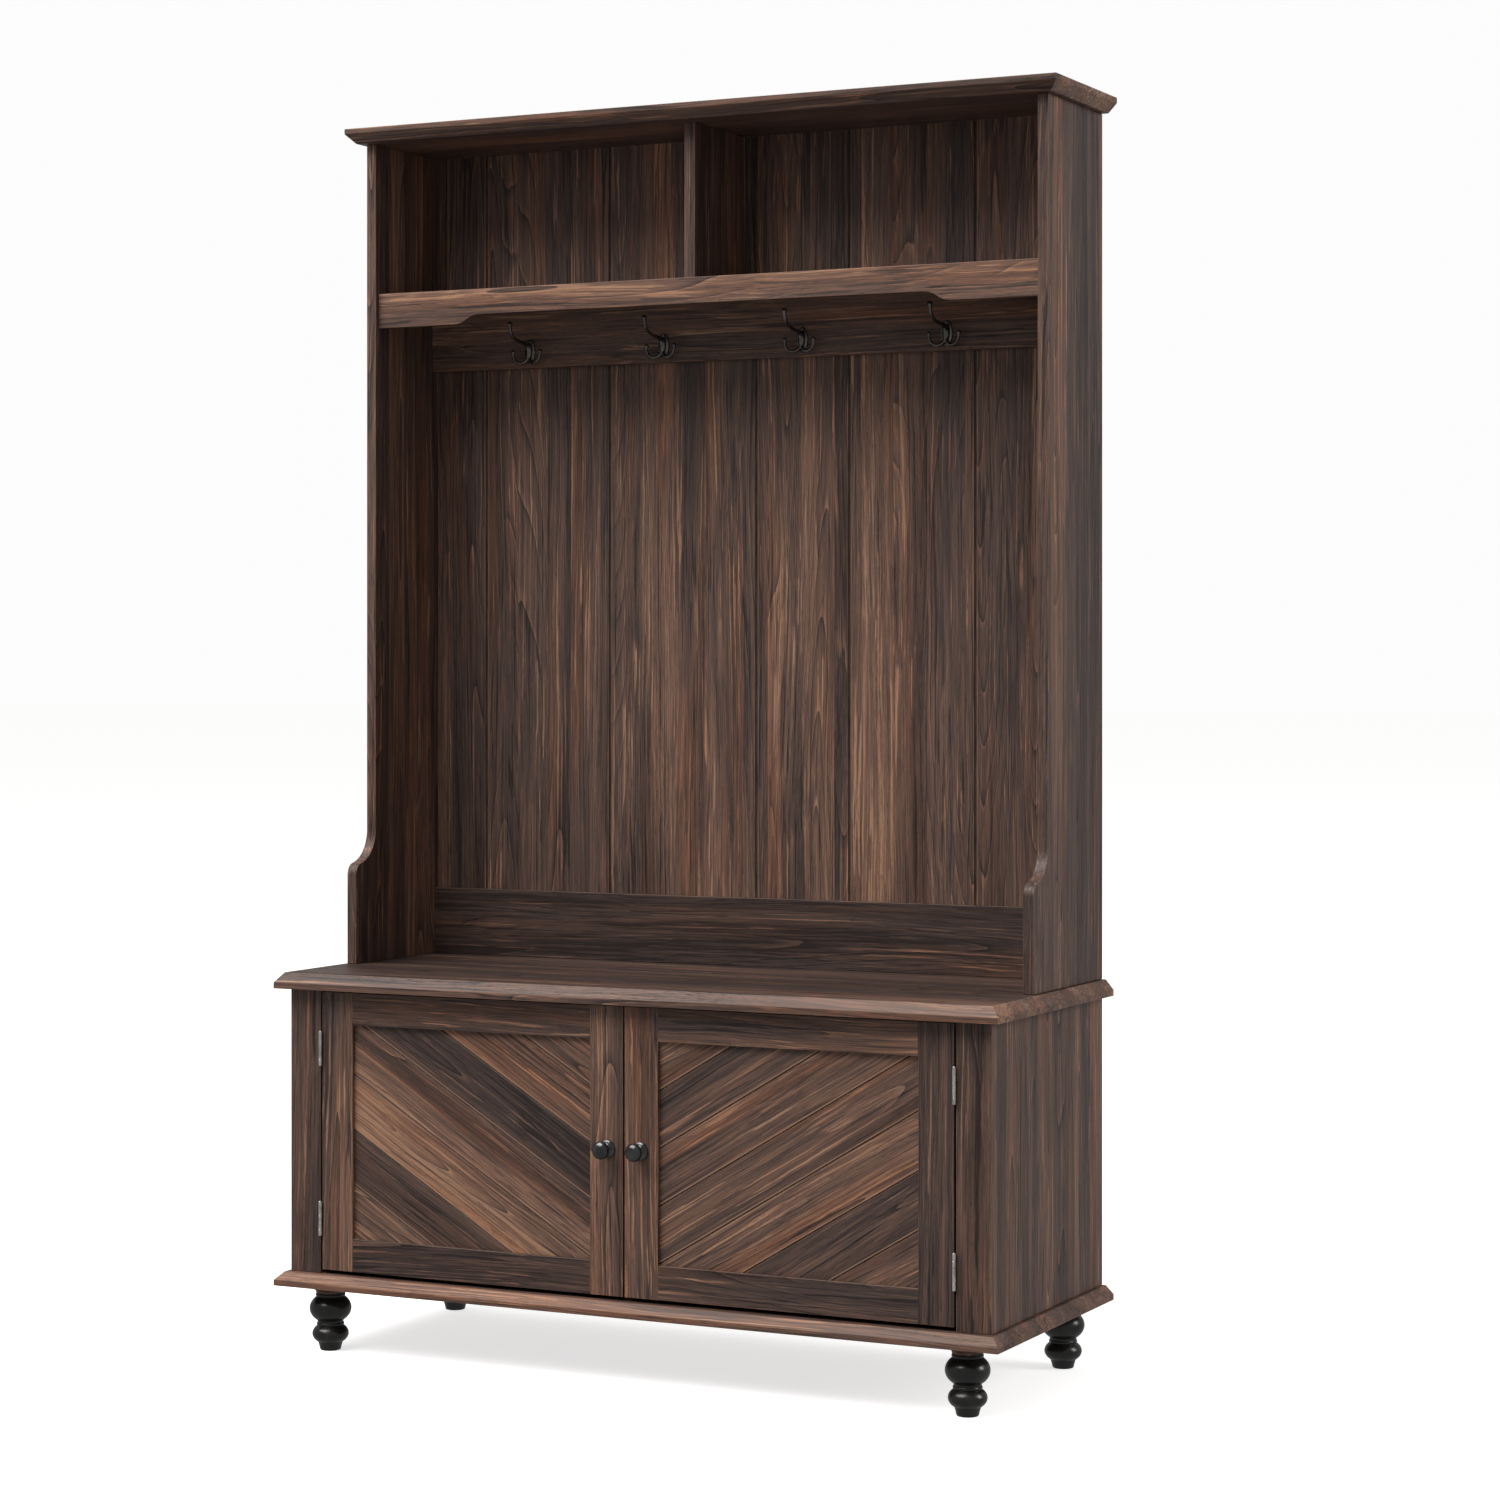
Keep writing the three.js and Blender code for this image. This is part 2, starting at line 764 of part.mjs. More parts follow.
// The apron's outline in the X-Z plane, narrower between two ogee steps.
function apronOutline() {
  const endBottom = shelfTop - apronEndHeight;
  const middleBottom = shelfTop - apronMiddleHeight;
  const stepOuter = hutchInnerHalf - apronEndLength;
  const stepInner = stepOuter - apronOgeeLength;
  const stepMiddle = (stepOuter + stepInner) / 2;
  const shape = new THREE.Shape();
  shape.moveTo(-hutchInnerHalf, endBottom);
  shape.lineTo(-stepOuter, endBottom);
  shape.bezierCurveTo(-stepMiddle, endBottom, -stepMiddle, middleBottom, -stepInner, middleBottom);
  shape.lineTo(stepInner, middleBottom);
  shape.bezierCurveTo(stepMiddle, middleBottom, stepMiddle, endBottom, stepOuter, endBottom);
  shape.lineTo(hutchInnerHalf, endBottom);
  shape.lineTo(hutchInnerHalf, shelfTop);
  shape.lineTo(-hutchInnerHalf, shelfTop);
  return shape;
}

function backPanel() {
  const low = seatHeight + fit;
  const high = topUnderside - fit;
  const panel = block(
    [-hutchInnerHalf, backPanelFront, low],
    [hutchInnerHalf, backPanelFront + backPanelThickness, high],
  );
  const grooves = backJoints.map((across) =>
    alongZ(
      outline([
        [across - backJointWidth, backPanelFront - backJointDepth],
        [across + backJointWidth, backPanelFront - backJointDepth],
        [across, backPanelFront + backJointDepth],
      ]),
      low - overshoot,
      high + overshoot,
    ),
  );
  return cut(panel, ...grooves);
}

function addHutch() {
  addPair(
    "hutch_side_left",
    "hutch_side_right",
    alongX(hutchSideOutline(), halfWidth - sideThickness, halfWidth),
    walnut,
  );
  add("hutch_back_panel", backPanel(), walnutPanel);
  const rear = backPanelFront - fit;
  add(
    "hook_rail",
    block([-hutchInnerHalf, hookRailFront, hookRailBottom], [hutchInnerHalf, rear, hookRailTop]),
    walnut,
  );
  add(
    "seat_back_rail",
    block(
      [-hutchInnerHalf, rear - seatRailThickness, seatHeight + fit],
      [hutchInnerHalf, rear, seatHeight + seatRailHeight],
    ),
    walnut,
  );
  add("shelf_apron", alongY(apronOutline(), apronFront, apronBack), walnut);
  add(
    "shelf_board",
    block([-hutchInnerHalf, apronBack + fit, shelfUnderside], [hutchInnerHalf, rear, shelfTop]),
    walnut,
  );
  add(
    "cubby_divider",
    block(
      [dividerShift - dividerThickness / 2, hutchSetback + dividerSetback, shelfTop + fit],
      [dividerShift + dividerThickness / 2, rear, topUnderside - fit],
    ),
    walnut,
  );
  add(
    "top_board",
    mouldedBoard(halfWidth + topSideOverhang, hutchSetback - topFrontOverhang, cabinetDepth, [
      [topBevelRun, topUnderside],
      [0, overallHeight - topLip],
      [0, overallHeight],
    ]),
    walnut,
  );
}

// ---------------------------------------------------------------- coat hooks

// A round bar along a smooth curve through some points.
function bar(points, radius, steps) {
  const path = new THREE.CatmullRomCurve3(points.map((point) => new THREE.Vector3(...point)));
  const section = new THREE.Shape();
  for (let i = 0; i < prongSides; i++) {
    const angle = (2 * Math.PI * i) / prongSides;
    const corner = [radius * Math.cos(angle), radius * Math.sin(angle)];
    if (i === 0) section.moveTo(...corner);
    else section.lineTo(...corner);
  }
  return new THREE.ExtrudeGeometry(section, { steps, extrudePath: path, bevelEnabled: false });
}

function ball(radius, [x, y, z]) {
  const geometry = new THREE.SphereGeometry(radius, prongSides + 2, prongSides - 2);
  geometry.translate(x, y, z);
  return geometry;
}

// Local frame: the rail's face is Y = 0, forward is -Y, and Z = 0 is the upper prong's root.
function hookGeometry() {
  const plateShape = new THREE.Shape();
  plateShape.absellipse(
    0,
    -hookPlateDrop,
    hookPlateWidth / 2,
    hookPlateHeight / 2,
    0,
    2 * Math.PI,
    false,
    0,
  );
  const plate = alongY(plateShape, -hookPlateThickness - fit, -fit);
  const rootDepth = -hookPlateThickness;
  const junction = -hookPlateDrop - hookPlateHeight / 3;
  const upperTip = [0, -upperProngReach, upperProngRise];
  const upperPath = [
    [0, -upperProngRadius - 2 * fit, junction],
    [0, 2 * rootDepth, -hookPlateDrop],
    [0, 4 * rootDepth, -upperProngRadius],
    [0, -upperProngReach * 0.55, 0],
    [0, -upperProngReach * 0.85, upperProngRise * 0.2],
    [0, -upperProngReach * 0.96, upperProngRise * 0.5],
    upperTip,
  ];
  const pieces = [plate, bar(upperPath, upperProngRadius, 12), ball(upperTipRadius, upperTip)];
  for (const side of [-1, 1]) {
    const tip = [side * lowerProngSpread, 4 * rootDepth, -hookPlateDrop];
    const low = junction - 2 * lowerProngRadius;
    const path = [
      [0, rootDepth, junction],
      [side * lowerProngSpread * 0.3, 3 * rootDepth, low],
      [side * lowerProngSpread * 0.65, 4 * rootDepth, low],
      [side * lowerProngSpread * 0.93, 4 * rootDepth, (junction + tip[2]) / 2],
      tip,
    ];
    pieces.push(bar(path, lowerProngRadius, 7), ball(lowerTipRadius, tip));
  }
  return join(...pieces);
}

function addHooks() {
  const first = hookRowShift - (hookSpacing * (hookCount - 1)) / 2;
  for (let i = 0; i < hookCount; i++) {
    const hook = add(`hook_${i + 1}`, hookGeometry(), blackMetal);
    hook.position.set(first + i * hookSpacing, hookRailFront, hookRailBottom + hookRootHeight);
  }
}

// ---------------------------------------------------------------- feet

function collarProfile() {
  const low = footHeight + fit;
  const high = footHeight + collarHeight - fit;
  const rise = high - low;
  const flare = collarUpperRadius - collarLowerRadius;
  return [
    [0, low],
    [collarLowerRadius, low],
    [collarLowerRadius + flare * 0.12, low + rise * 0.25],
    [collarLowerRadius + flare * 0.5, low + rise * 0.5],
    [collarLowerRadius + flare * 0.88, low + rise * 0.7],
    [collarUpperRadius, low + rise * 0.85],
    [collarUpperRadius, high],
    [0, high],
  ];
}

function addFeet() {
  const rows = { front: footEndInset, back: cabinetDepth - footEndInset };
  for (const [row, depth] of Object.entries(rows)) {
    const foot = turned(footProfile(), footSegments);
    const collar = turned(collarProfile(), footSegments);
    for (const geometry of [foot, collar]) {
      geometry.translate(halfWidth - footSideInset, depth, 0);
    }
    addPair(`foot_${row}_left`, `foot_${row}_right`, foot, blackGloss);
    addPair(`foot_collar_${row}_left`, `foot_collar_${row}_right`, collar, walnut);
  }
}

// ---------------------------------------------------------------- assembly

addFeet();
addCarcass();
addDoors();
addKnobs();
addHinges();
addCatches();
addHutch();
addHooks();

export default assembly;
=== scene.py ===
import math

import bmesh
import bpy
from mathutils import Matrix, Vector


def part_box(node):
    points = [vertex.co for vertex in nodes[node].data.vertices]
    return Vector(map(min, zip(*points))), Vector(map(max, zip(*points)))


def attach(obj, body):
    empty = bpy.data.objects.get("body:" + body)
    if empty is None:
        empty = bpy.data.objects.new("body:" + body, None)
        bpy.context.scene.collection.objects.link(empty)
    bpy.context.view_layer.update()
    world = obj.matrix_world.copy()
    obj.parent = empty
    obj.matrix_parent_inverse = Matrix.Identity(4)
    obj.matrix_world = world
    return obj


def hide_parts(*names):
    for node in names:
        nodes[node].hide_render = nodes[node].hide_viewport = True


# A dark walnut hall tree: bench cabinet, hutch, four coat hooks, black turned feet.
# Metres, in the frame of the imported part: X to the right, Y towards the wall, Z up.

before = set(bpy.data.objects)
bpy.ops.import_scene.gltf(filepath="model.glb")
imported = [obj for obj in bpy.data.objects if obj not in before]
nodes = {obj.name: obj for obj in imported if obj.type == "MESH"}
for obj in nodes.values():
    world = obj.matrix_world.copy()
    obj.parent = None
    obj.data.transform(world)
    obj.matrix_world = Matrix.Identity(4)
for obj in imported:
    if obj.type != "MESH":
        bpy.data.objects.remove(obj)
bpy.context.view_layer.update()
scene = bpy.context.scene
MM = 0.001


# ------------------------------------------------------------------ camera, light and floor

CAMERA_PLACE = (2.3071, -4.4701, 1.0152)
CAMERA_TURN = math.radians(26.27)  # turned left of straight ahead along Y
CAMERA_LENS = 83.31
CAMERA_SENSOR = 36.0
CAMERA_SHIFT = -0.0605
CAMERA_REACH = 200.0

ROOM_COLOUR = (1.0, 0.985, 0.97, 1.0)
ROOM_STRENGTH = 0.36
BACKDROP_WHITE = (0.98, 0.98, 0.98, 1.0)
FLOOR_HALF = 60.0
FLOOR_PAINT = (0.85, 0.85, 0.85, 1.0)
FLOOR_ROUGHNESS = 0.9
FLOOR_GLOW = (1.0, 1.0, 1.0, 1.0)
FLOOR_GLOW_STRENGTH = 0.675
MIDDLE_OF_OBJECT = (0.0, 0.0, 0.9)


def add_camera():
    data = bpy.data.cameras.new("camera")
    data.lens = CAMERA_LENS
    data.sensor_width = CAMERA_SENSOR
    data.shift_y = CAMERA_SHIFT
    data.clip_end = CAMERA_REACH
    camera = bpy.data.objects.new("camera", data)
    camera.location = CAMERA_PLACE
    camera.rotation_euler = (math.pi / 2, 0.0, CAMERA_TURN)
    scene.collection.objects.link(camera)
    scene.camera = camera


def add_area_light(name, place, size, watts, colour):
    """A soft box that faces the middle of the object."""
    data = bpy.data.lights.new(name, "AREA")
    data.shape = "RECTANGLE"
    data.size, data.size_y = size
    data.energy = watts
    data.color = colour
    light = bpy.data.objects.new(name, data)
    light.location = place
    direction = Vector(MIDDLE_OF_OBJECT) - Vector(place)
    light.rotation_euler = direction.to_track_quat("-Z", "Y").to_euler()
    scene.collection.objects.link(light)
    light.visible_camera = False


def add_world():
    """A soft grey room to light the object, which the camera sees as plain white."""
    world = bpy.data.worlds.new("studio")
    world.use_nodes = True
    shaders = world.node_tree.nodes
    links = world.node_tree.links
    seen = shaders["Background"]
    seen.inputs["Color"].default_value = BACKDROP_WHITE
    room = shaders.new("ShaderNodeBackground")
    room.inputs["Color"].default_value = ROOM_COLOUR
    room.inputs["Strength"].default_value = ROOM_STRENGTH
    path = shaders.new("ShaderNodeLightPath")
    choice = shaders.new("ShaderNodeMixShader")
    links.new(path.outputs["Is Camera Ray"], choice.inputs[0])
    links.new(room.outputs[0], choice.inputs[1])
    links.new(seen.outputs[0], choice.inputs[2])
    links.new(choice.outputs[0], shaders["World Output"].inputs["Surface"])
    scene.world = world


def add_floor():
    """A plain white floor that runs on into the backdrop."""
    mesh = bpy.data.meshes.new("floor")
    corners = [(-FLOOR_HALF, -FLOOR_HALF, 0), (FLOOR_HALF, -FLOOR_HALF, 0),
               (FLOOR_HALF, FLOOR_HALF, 0), (-FLOOR_HALF, FLOOR_HALF, 0)]
    mesh.from_pydata(corners, [], [(0, 1, 2, 3)])
    floor = bpy.data.objects.new("floor", mesh)
    scene.collection.objects.link(floor)
    material = bpy.data.materials.new("floor_paint")
    material.use_nodes = True
    shader = material.node_tree.nodes["Principled BSDF"]
    shader.inputs["Base Color"].default_value = FLOOR_PAINT
    shader.inputs["Roughness"].default_value = FLOOR_ROUGHNESS
    shader.inputs["Specular IOR Level"].default_value = 0.0
    shader.inputs["Emission Color"].default_value = FLOOR_GLOW
    shader.inputs["Emission Strength"].default_value = FLOOR_GLOW_STRENGTH
    mesh.materials.append(material)
    floor.visible_diffuse = False
    floor.visible_glossy = False


add_camera()
add_world()
add_floor()
scene.view_settings.view_transform = "Standard"
scene.view_settings.look = "None"
add_area_light("key", (-2.7, -3.8, 7.4), size=(7.2, 5.8), watts=900, colour=(1.0, 0.985, 0.965))
add_area_light("side", (5.6, 1.2, 3.0), size=(2.2, 3.0), watts=150, colour=(1.0, 0.985, 0.97))


# ------------------------------------------------------------------ node-tree shorthand

class Tree:
    """Adds shader nodes to one tree. Values and sockets are passed alike."""

    def __init__(self, tree):
        self.tree = tree

    def add(self, kind, inputs=None, **settings):
        node = self.tree.nodes.new(kind)
        for name, value in settings.items():
            setattr(node, name, value)
        for key, value in (inputs or {}).items():
            self.set(node.inputs[key], value)
        return node

    def set(self, socket, value):
        if isinstance(value, bpy.types.NodeSocket):
            self.tree.links.new(value, socket)
        else:
            socket.default_value = value

    def math(self, operation, *values):
        return self.add("ShaderNodeMath", dict(enumerate(values)), operation=operation).outputs[0]

    def vector(self, operation, *values):
        return self.add("ShaderNodeVectorMath", dict(enumerate(values)), operation=operation).outputs[0]

    def noise(self, place, scales, detail=2.0, roughness=0.5, distortion=0.0):
        stretched = self.vector("MULTIPLY", place, scales)
        inputs = {
            "Vector": stretched,
            "Scale": 1.0,
            "Detail": detail,
            "Roughness": roughness,
            "Distortion": distortion,
        }
        return self.add("ShaderNodeTexNoise", inputs)

    def spread(self, value, low, high, to_low=0.0, to_high=1.0, smooth=False):
        node = self.add(
            "ShaderNodeMapRange",
            {0: value, 1: low, 2: high, 3: to_low, 4: to_high},
            interpolation_type="SMOOTHSTEP" if smooth else "LINEAR",
        )
        return node.outputs[0]

    def ramp(self, value, stops):
        node = self.add("ShaderNodeValToRGB", {0: value})
        elements = node.color_ramp.elements
        while len(elements) < len(stops):
            elements.new(0.5)
        for element, (position, colour) in zip(elements, stops):
            element.position = position
            element.color = colour
        return node.outputs[0]

    def mix(self, factor, first, second, blend="MIX"):
        """Mixes two colours. The node keeps its colour sockets after its number and vector ones."""
        inputs = {0: factor, 6: first, 7: second}
        return self.add("ShaderNodeMix", inputs, data_type="RGBA", blend_type=blend).outputs[2]

    def bump(self, height, distance, strength):
        inputs = {"Height": height, "Distance": distance, "Strength": strength}
        return self.add("ShaderNodeBump", inputs).outputs[0]


def srgb(red, green, blue):
    """A display colour, 0 to 255, as the linear colour that shaders take."""
    def linear(value):
        value /= 255
        return value / 12.92 if value <= 0.04045 else ((value + 0.055) / 1.055) ** 2.4
    return (linear(red), linear(green), linear(blue), 1.0)


def new_material(name):
    """A material, with its tree and its shader."""
    material = bpy.data.materials.new(name)
    material.use_nodes = True
    tree = Tree(material.node_tree)
    shader = material.node_tree.nodes["Principled BSDF"]
    return material, tree, shader


# ------------------------------------------------------------------ walnut

# Walnut colours from the darkest heartwood streak to the lightest fibre.
WALNUT_STOPS = (
    (0.08, srgb(44, 36, 34)),
    (0.30, srgb(69, 56, 52)),
    (0.50, srgb(92, 72, 64)),
    (0.70, srgb(122, 91, 76)),
    (0.95, srgb(166, 127, 101)),
)
RED_TINT = (1.0, 0.82, 0.70, 1.0)
GREY_TINT = (0.86, 0.93, 1.0, 1.0)
PORE_COLOUR = (0.010, 0.007, 0.006, 1.0)
SEAM_SHADOW = srgb(17, 11, 9)
# Colour of the painted highlight beside seams.
SEAM_HIGHLIGHT_PAINT = srgb(176, 136, 112)
# Colour of the painted highlight along board edges.
EDGE_HIGHLIGHT_PAINT = srgb(168, 132, 110)

# What each layer of the figure adds to the tone, which runs along the colours above.
MIDDLE_TONE = 0.49
BAND_SHARE = 0.80
STREAK_SHARE = 0.50
FIBRE_SHARE = 0.95
RING_SHARE = -0.34
BESIDE_RING_SHARE = 0.16
DARK_HAIR_SHARE = -0.32
LIGHT_HAIR_SHARE = 0.38

CELL_SHIFT = (3.17, 1.73, 2.41)  # metres between the wood of one cell and the next
WANDER_REACH = (0.0, 0.034, 0.034)  # metres, none of it along the grain
RIPPLE_REACH = (0.0, 0.0042, 0.0042)
RING_RIPPLE_REACH = (0.0, 0.0022, 0.0022)
RINGS_IN_FIELD = 34.0
RING_SHARPNESS = 8.0
HALF = (0.5, 0.5, 0.5)

WOOD_SPECULAR = 0.25
GRAIN_DEPTH = 0.0004


def grain(along, across):
    """Noise scale in cycles a metre, along the grain and across it."""
    return (along, across, across)


def walnut_group():
    """Walnut figure. Grain runs along the vector's X. Each cell has its own figure and tone."""
    group = bpy.data.node_groups.new("walnut_figure", "ShaderNodeTree")
    face = group.interface
    for name, kind in (("Place", "Vector"), ("Cell", "Float"), ("Spread", "Float"), ("Tone", "Float")):
        face.new_socket(name, in_out="INPUT", socket_type=f"NodeSocket{kind}")
    for name, kind in (("Color", "Color"), ("Roughness", "Float"), ("Height", "Float")):
        face.new_socket(name, in_out="OUTPUT", socket_type=f"NodeSocket{kind}")
    t = Tree(group)
    given = t.add("NodeGroupInput").outputs
    place = t.vector("ADD", given["Place"], t.vector("MULTIPLY", given["Cell"], CELL_SHIFT))

    # Slow wander of the grain, then a finer ripple, so that fibres drift and waver along a board.
    wander = t.noise(place, grain(1.5, 6.0), detail=1.5).outputs["Color"]
    wander = t.vector("MULTIPLY", t.vector("SUBTRACT", wander, HALF), WANDER_REACH)
    even = t.vector("ADD", place, wander)
    ripple = t.noise(even, grain(13.0, 42.0), detail=2.5, roughness=0.6).outputs["Color"]
    ripple = t.vector("SUBTRACT", ripple, HALF)
    place = t.vector("ADD", even, t.vector("MULTIPLY", ripple, RIPPLE_REACH))

    # Broad heartwood bands, streaks inside them, and fine fibres.
    bands = t.noise(place, grain(0.8, 18.0), detail=1.0, roughness=0.4).outputs[0]
    streaks = t.noise(place, grain(1.8, 110.0), detail=2.5, roughness=0.6).outputs[0]
    fibres = t.noise(place, grain(9.0, 430.0), detail=3.0, roughness=0.7).outputs[0]

    # Long thin lines, light and dark, a fibre or two wide.
    dark_hair = t.spread(t.noise(place, grain(2.6, 240.0), detail=1.0).outputs[0], 0.42, 0.34)
    light_hair = t.spread(t.noise(place, grain(2.2, 270.0), detail=1.0).outputs[0], 0.59, 0.67)
    hair_place = t.noise(place, grain(3.4, 24.0), detail=1.0).outputs[0]
    light_hair = t.math("MULTIPLY", light_hair, t.spread(hair_place, 0.42, 0.60, 0.25, 1.0))
    dark_hair = t.math("MULTIPLY", dark_hair, t.spread(hair_place, 0.60, 0.42, 0.35, 1.0))

    # Growth rings: level lines of a slow field, which close into cathedrals where it turns over.
    bent = t.vector("ADD", even, t.vector("MULTIPLY", ripple, RING_RIPPLE_REACH))
    field = t.noise(bent, grain(0.5, 11.0), detail=0.4).outputs[0]
    phase = t.math("FRACT", t.math("MULTIPLY", field, RINGS_IN_FIELD))
    ring_place = t.noise(place, grain(1.6, 20.0), detail=1.0).outputs[0]
    ring_strength = t.spread(ring_place, 0.38, 0.54, smooth=True)
    rings = t.math("MULTIPLY", t.math("POWER", phase, RING_SHARPNESS), ring_strength)
    beside_rings = t.math("MULTIPLY", t.spread(phase, 0.14, 0.02), ring_strength)

    # Pores: short dark dashes along the grain.
    dashes = t.noise(place, grain(60.0, 1300.0), detail=1.0).outputs[0]
    dash_place = t.noise(place, grain(3.0, 60.0), detail=1.0).outputs[0]
    pores = t.math("MULTIPLY", t.spread(dashes, 0.60, 0.70), t.spread(dash_place, 0.40, 0.60))

    # Each cell is a step lighter or darker than its neighbours.
    chance = t.add("ShaderNodeTexWhiteNoise", {"W": given["Cell"]}, noise_dimensions="1D").outputs[0]
    step = t.math("MULTIPLY", t.math("SUBTRACT", chance, 0.5), given["Spread"])

    tone = t.math("ADD", t.math("ADD", step, given["Tone"]), MIDDLE_TONE)
    for layer, share in ((bands, BAND_SHARE), (streaks, STREAK_SHARE), (fibres, FIBRE_SHARE)):
        tone = t.math("MULTIPLY_ADD", t.math("SUBTRACT", layer, 0.5), share, tone)
    for layer, share in ((rings, RING_SHARE), (beside_rings, BESIDE_RING_SHARE),
                         (dark_hair, DARK_HAIR_SHARE), (light_hair, LIGHT_HAIR_SHARE)):
        tone = t.math("MULTIPLY_ADD", layer, share, tone)
    colour = t.ramp(tone, WALNUT_STOPS)

    # Some streaks lean red, others grey.
    hue = t.noise(place, grain(1.4, 30.0), detail=2.0).outputs[0]
    colour = t.mix(t.spread(hue, 0.50, 0.66, 0.0, 0.7), colour, RED_TINT, "MULTIPLY")
    colour = t.mix(t.spread(hue, 0.48, 0.34, 0.0, 0.6), colour, GREY_TINT, "MULTIPLY")
    colour = t.mix(t.math("MULTIPLY", pores, 0.55), colour, PORE_COLOUR)

    # Fibres and pores are rougher and stand at different heights.
    rough = t.math("MULTIPLY_ADD", fibres, 0.20, 0.34)
    rough = t.math("MULTIPLY_ADD", pores, 0.15, rough)
    height = t.math("MULTIPLY_ADD", fibres, 0.45, t.math("MULTIPLY", streaks, 0.25))
    height = t.math("MULTIPLY_ADD", pores, -0.6, height)
    height = t.math("MULTIPLY_ADD", t.math("ADD", rings, dark_hair), -0.25, height)
    t.add("NodeGroupOutput", {"Color": colour, "Roughness": rough, "Height": height})
    return group


WALNUT = walnut_group()

# Door panels are scored into planks that rise away from the meeting stiles.
PLANK_PITCH = 0.069  # metres from seam to seam
PLANK_ANGLE = math.radians(31)
FIRST_SEAM = (0.0536, 0.4140)  # a point of the seam under plank 0, across and up from the floor
# Tone of each plank, from the lowest outer corner up to the upper corner at the meeting stile.
RIGHT_PLANKS = (-0.19, -0.16, -0.05, 0.20, 0.02, 0.05, -0.18, 0.10)
LEFT_PLANKS = (-0.02, -0.02, -0.13, 0.17, 0.09, -0.19, 0.03, 0.04)

# The hutch back is scored into boards, at these places across.
BACK_JOINTS = (-0.450, -0.232, 0.017, 0.170, 0.371)

# Half the width of the dark line in a seam, in metres, and how strong the painted highlight along its
# edge is.
SEAMS = {"planks": (0.0010, 0.55), "boards": (0.0018, 0.18)}
SEAM_DARKNESS = 0.92
# How strong the painted highlight along board edges is, and the radius that finds the edges.
EDGE_HIGHLIGHT_SHARE = 0.55
EDGE_RADIUS = 0.0015
SEED_STEP = 11.0  # cells between one board's seed and the next
STRIP_SEED_STEP = 1.37


def strip_cells(t, across, strip, seed, randomness, kinds):
    """Numbers the uneven strips of wood across a board, at random."""
    ticks = t.math("MULTIPLY_ADD", across, 1.0 / strip, seed * STRIP_SEED_STEP)
    inputs = {"W": ticks, "Scale": 1.0, "Randomness": randomness}
    strips = t.add("ShaderNodeTexVoronoi", inputs, voronoi_dimensions="1D")
    return t.math("FLOOR", t.math("MULTIPLY", strips.outputs["Color"], kinds))


def plank_cells(t, across, turn):
    """Numbers a door's planks upwards, with the signed distance from the nearest seam in metres."""
    start = FIRST_SEAM[1] * math.cos(PLANK_ANGLE) - FIRST_SEAM[0] * math.sin(PLANK_ANGLE)
    rising = across if turn < math.pi / 2 else t.math("MULTIPLY", across, -1.0)
    planks = t.math("DIVIDE", t.math("SUBTRACT", rising, start), PLANK_PITCH)
    from_seam = t.math("SUBTRACT", planks, t.math("ROUND", planks))
    return t.math("FLOOR", planks), t.math("MULTIPLY", from_seam, PLANK_PITCH)


def board_cells(t, x):
    """Numbers the back's boards from the left, with the signed distance from the nearest joint."""
    cell = t.math("GREATER_THAN", x, BACK_JOINTS[0])
    distance = t.math("SUBTRACT", x, BACK_JOINTS[0])
    for joint in BACK_JOINTS[1:]:
        cell = t.math("ADD", cell, t.math("GREATER_THAN", x, joint))
        other = t.math("SUBTRACT", x, joint)
        nearer = t.math("LESS_THAN", t.math("ABSOLUTE", other), t.math("ABSOLUTE", distance))
        gain = t.math("MULTIPLY", nearer, t.math("SUBTRACT", other, distance))
        distance = t.math("ADD", distance, gain)
    return cell, distance


def plank_tone(t, cell, tones):
    """The chosen tone of a numbered plank. The last tone belongs to cell 0, the one before to -1."""
    count = len(tones)
    along_ramp = t.math("DIVIDE", t.math("ADD", cell, count - 0.5), count)
    node = t.add("ShaderNodeValToRGB", {0: along_ramp})
    ramp = node.color_ramp
    ramp.interpolation = "CONSTANT"
    while len(ramp.elements) < count:
        ramp.elements.new(0.5)
    for k, (element, tone) in enumerate(zip(ramp.elements, tones)):
        element.position = k / count
        element.color = (tone + 0.5, tone + 0.5, tone + 0.5, 1.0)
    return t.math("SUBTRACT", node.outputs[0], 0.5)


def seam_lines(t, distance, half):
    """A dark line of painted shadow in a seam and a painted highlight on the edge above it. distance is
    signed, in metres.
    """
    dark = t.spread(t.math("ABSOLUTE", distance), half + 0.0006, half - 0.0003)
    beside = t.math("SUBTRACT", distance, half + 0.0014)
    light = t.spread(t.math("ABSOLUTE", beside), 0.0014, 0.0003)
    return dark, light


def painted_edge_highlight(t, place):
    """A painted highlight along a board's edges, in a broken line."""
    rounded = t.add("ShaderNodeBevel", {"Radius": EDGE_RADIUS}, samples=4).outputs[0]
    flat = t.add("ShaderNodeNewGeometry").outputs["True Normal"]
    turned = t.add("ShaderNodeVectorMath", {0: rounded, 1: flat}, operation="DOT_PRODUCT")
    facing = turned.outputs["Value"]
    broken = t.noise(place, (22.0, 22.0, 22.0), detail=2.0).outputs[0]
    return t.math("MULTIPLY", t.spread(facing, 0.985, 0.90), t.spread(broken, 0.34, 0.56, 0.35, 1.0))


def paint_rim_light(t, normal, rim_light, tone):
    """Paints light onto a board's moulded edge, which is every face that isn't level, by raising its
    tone.
    """
    level = t.math("ABSOLUTE", t.add("ShaderNodeSeparateXYZ", {0: normal}).outputs["Z"])
    return t.math("MULTIPLY_ADD", t.spread(level, 0.99, 0.93), rim_light, tone)


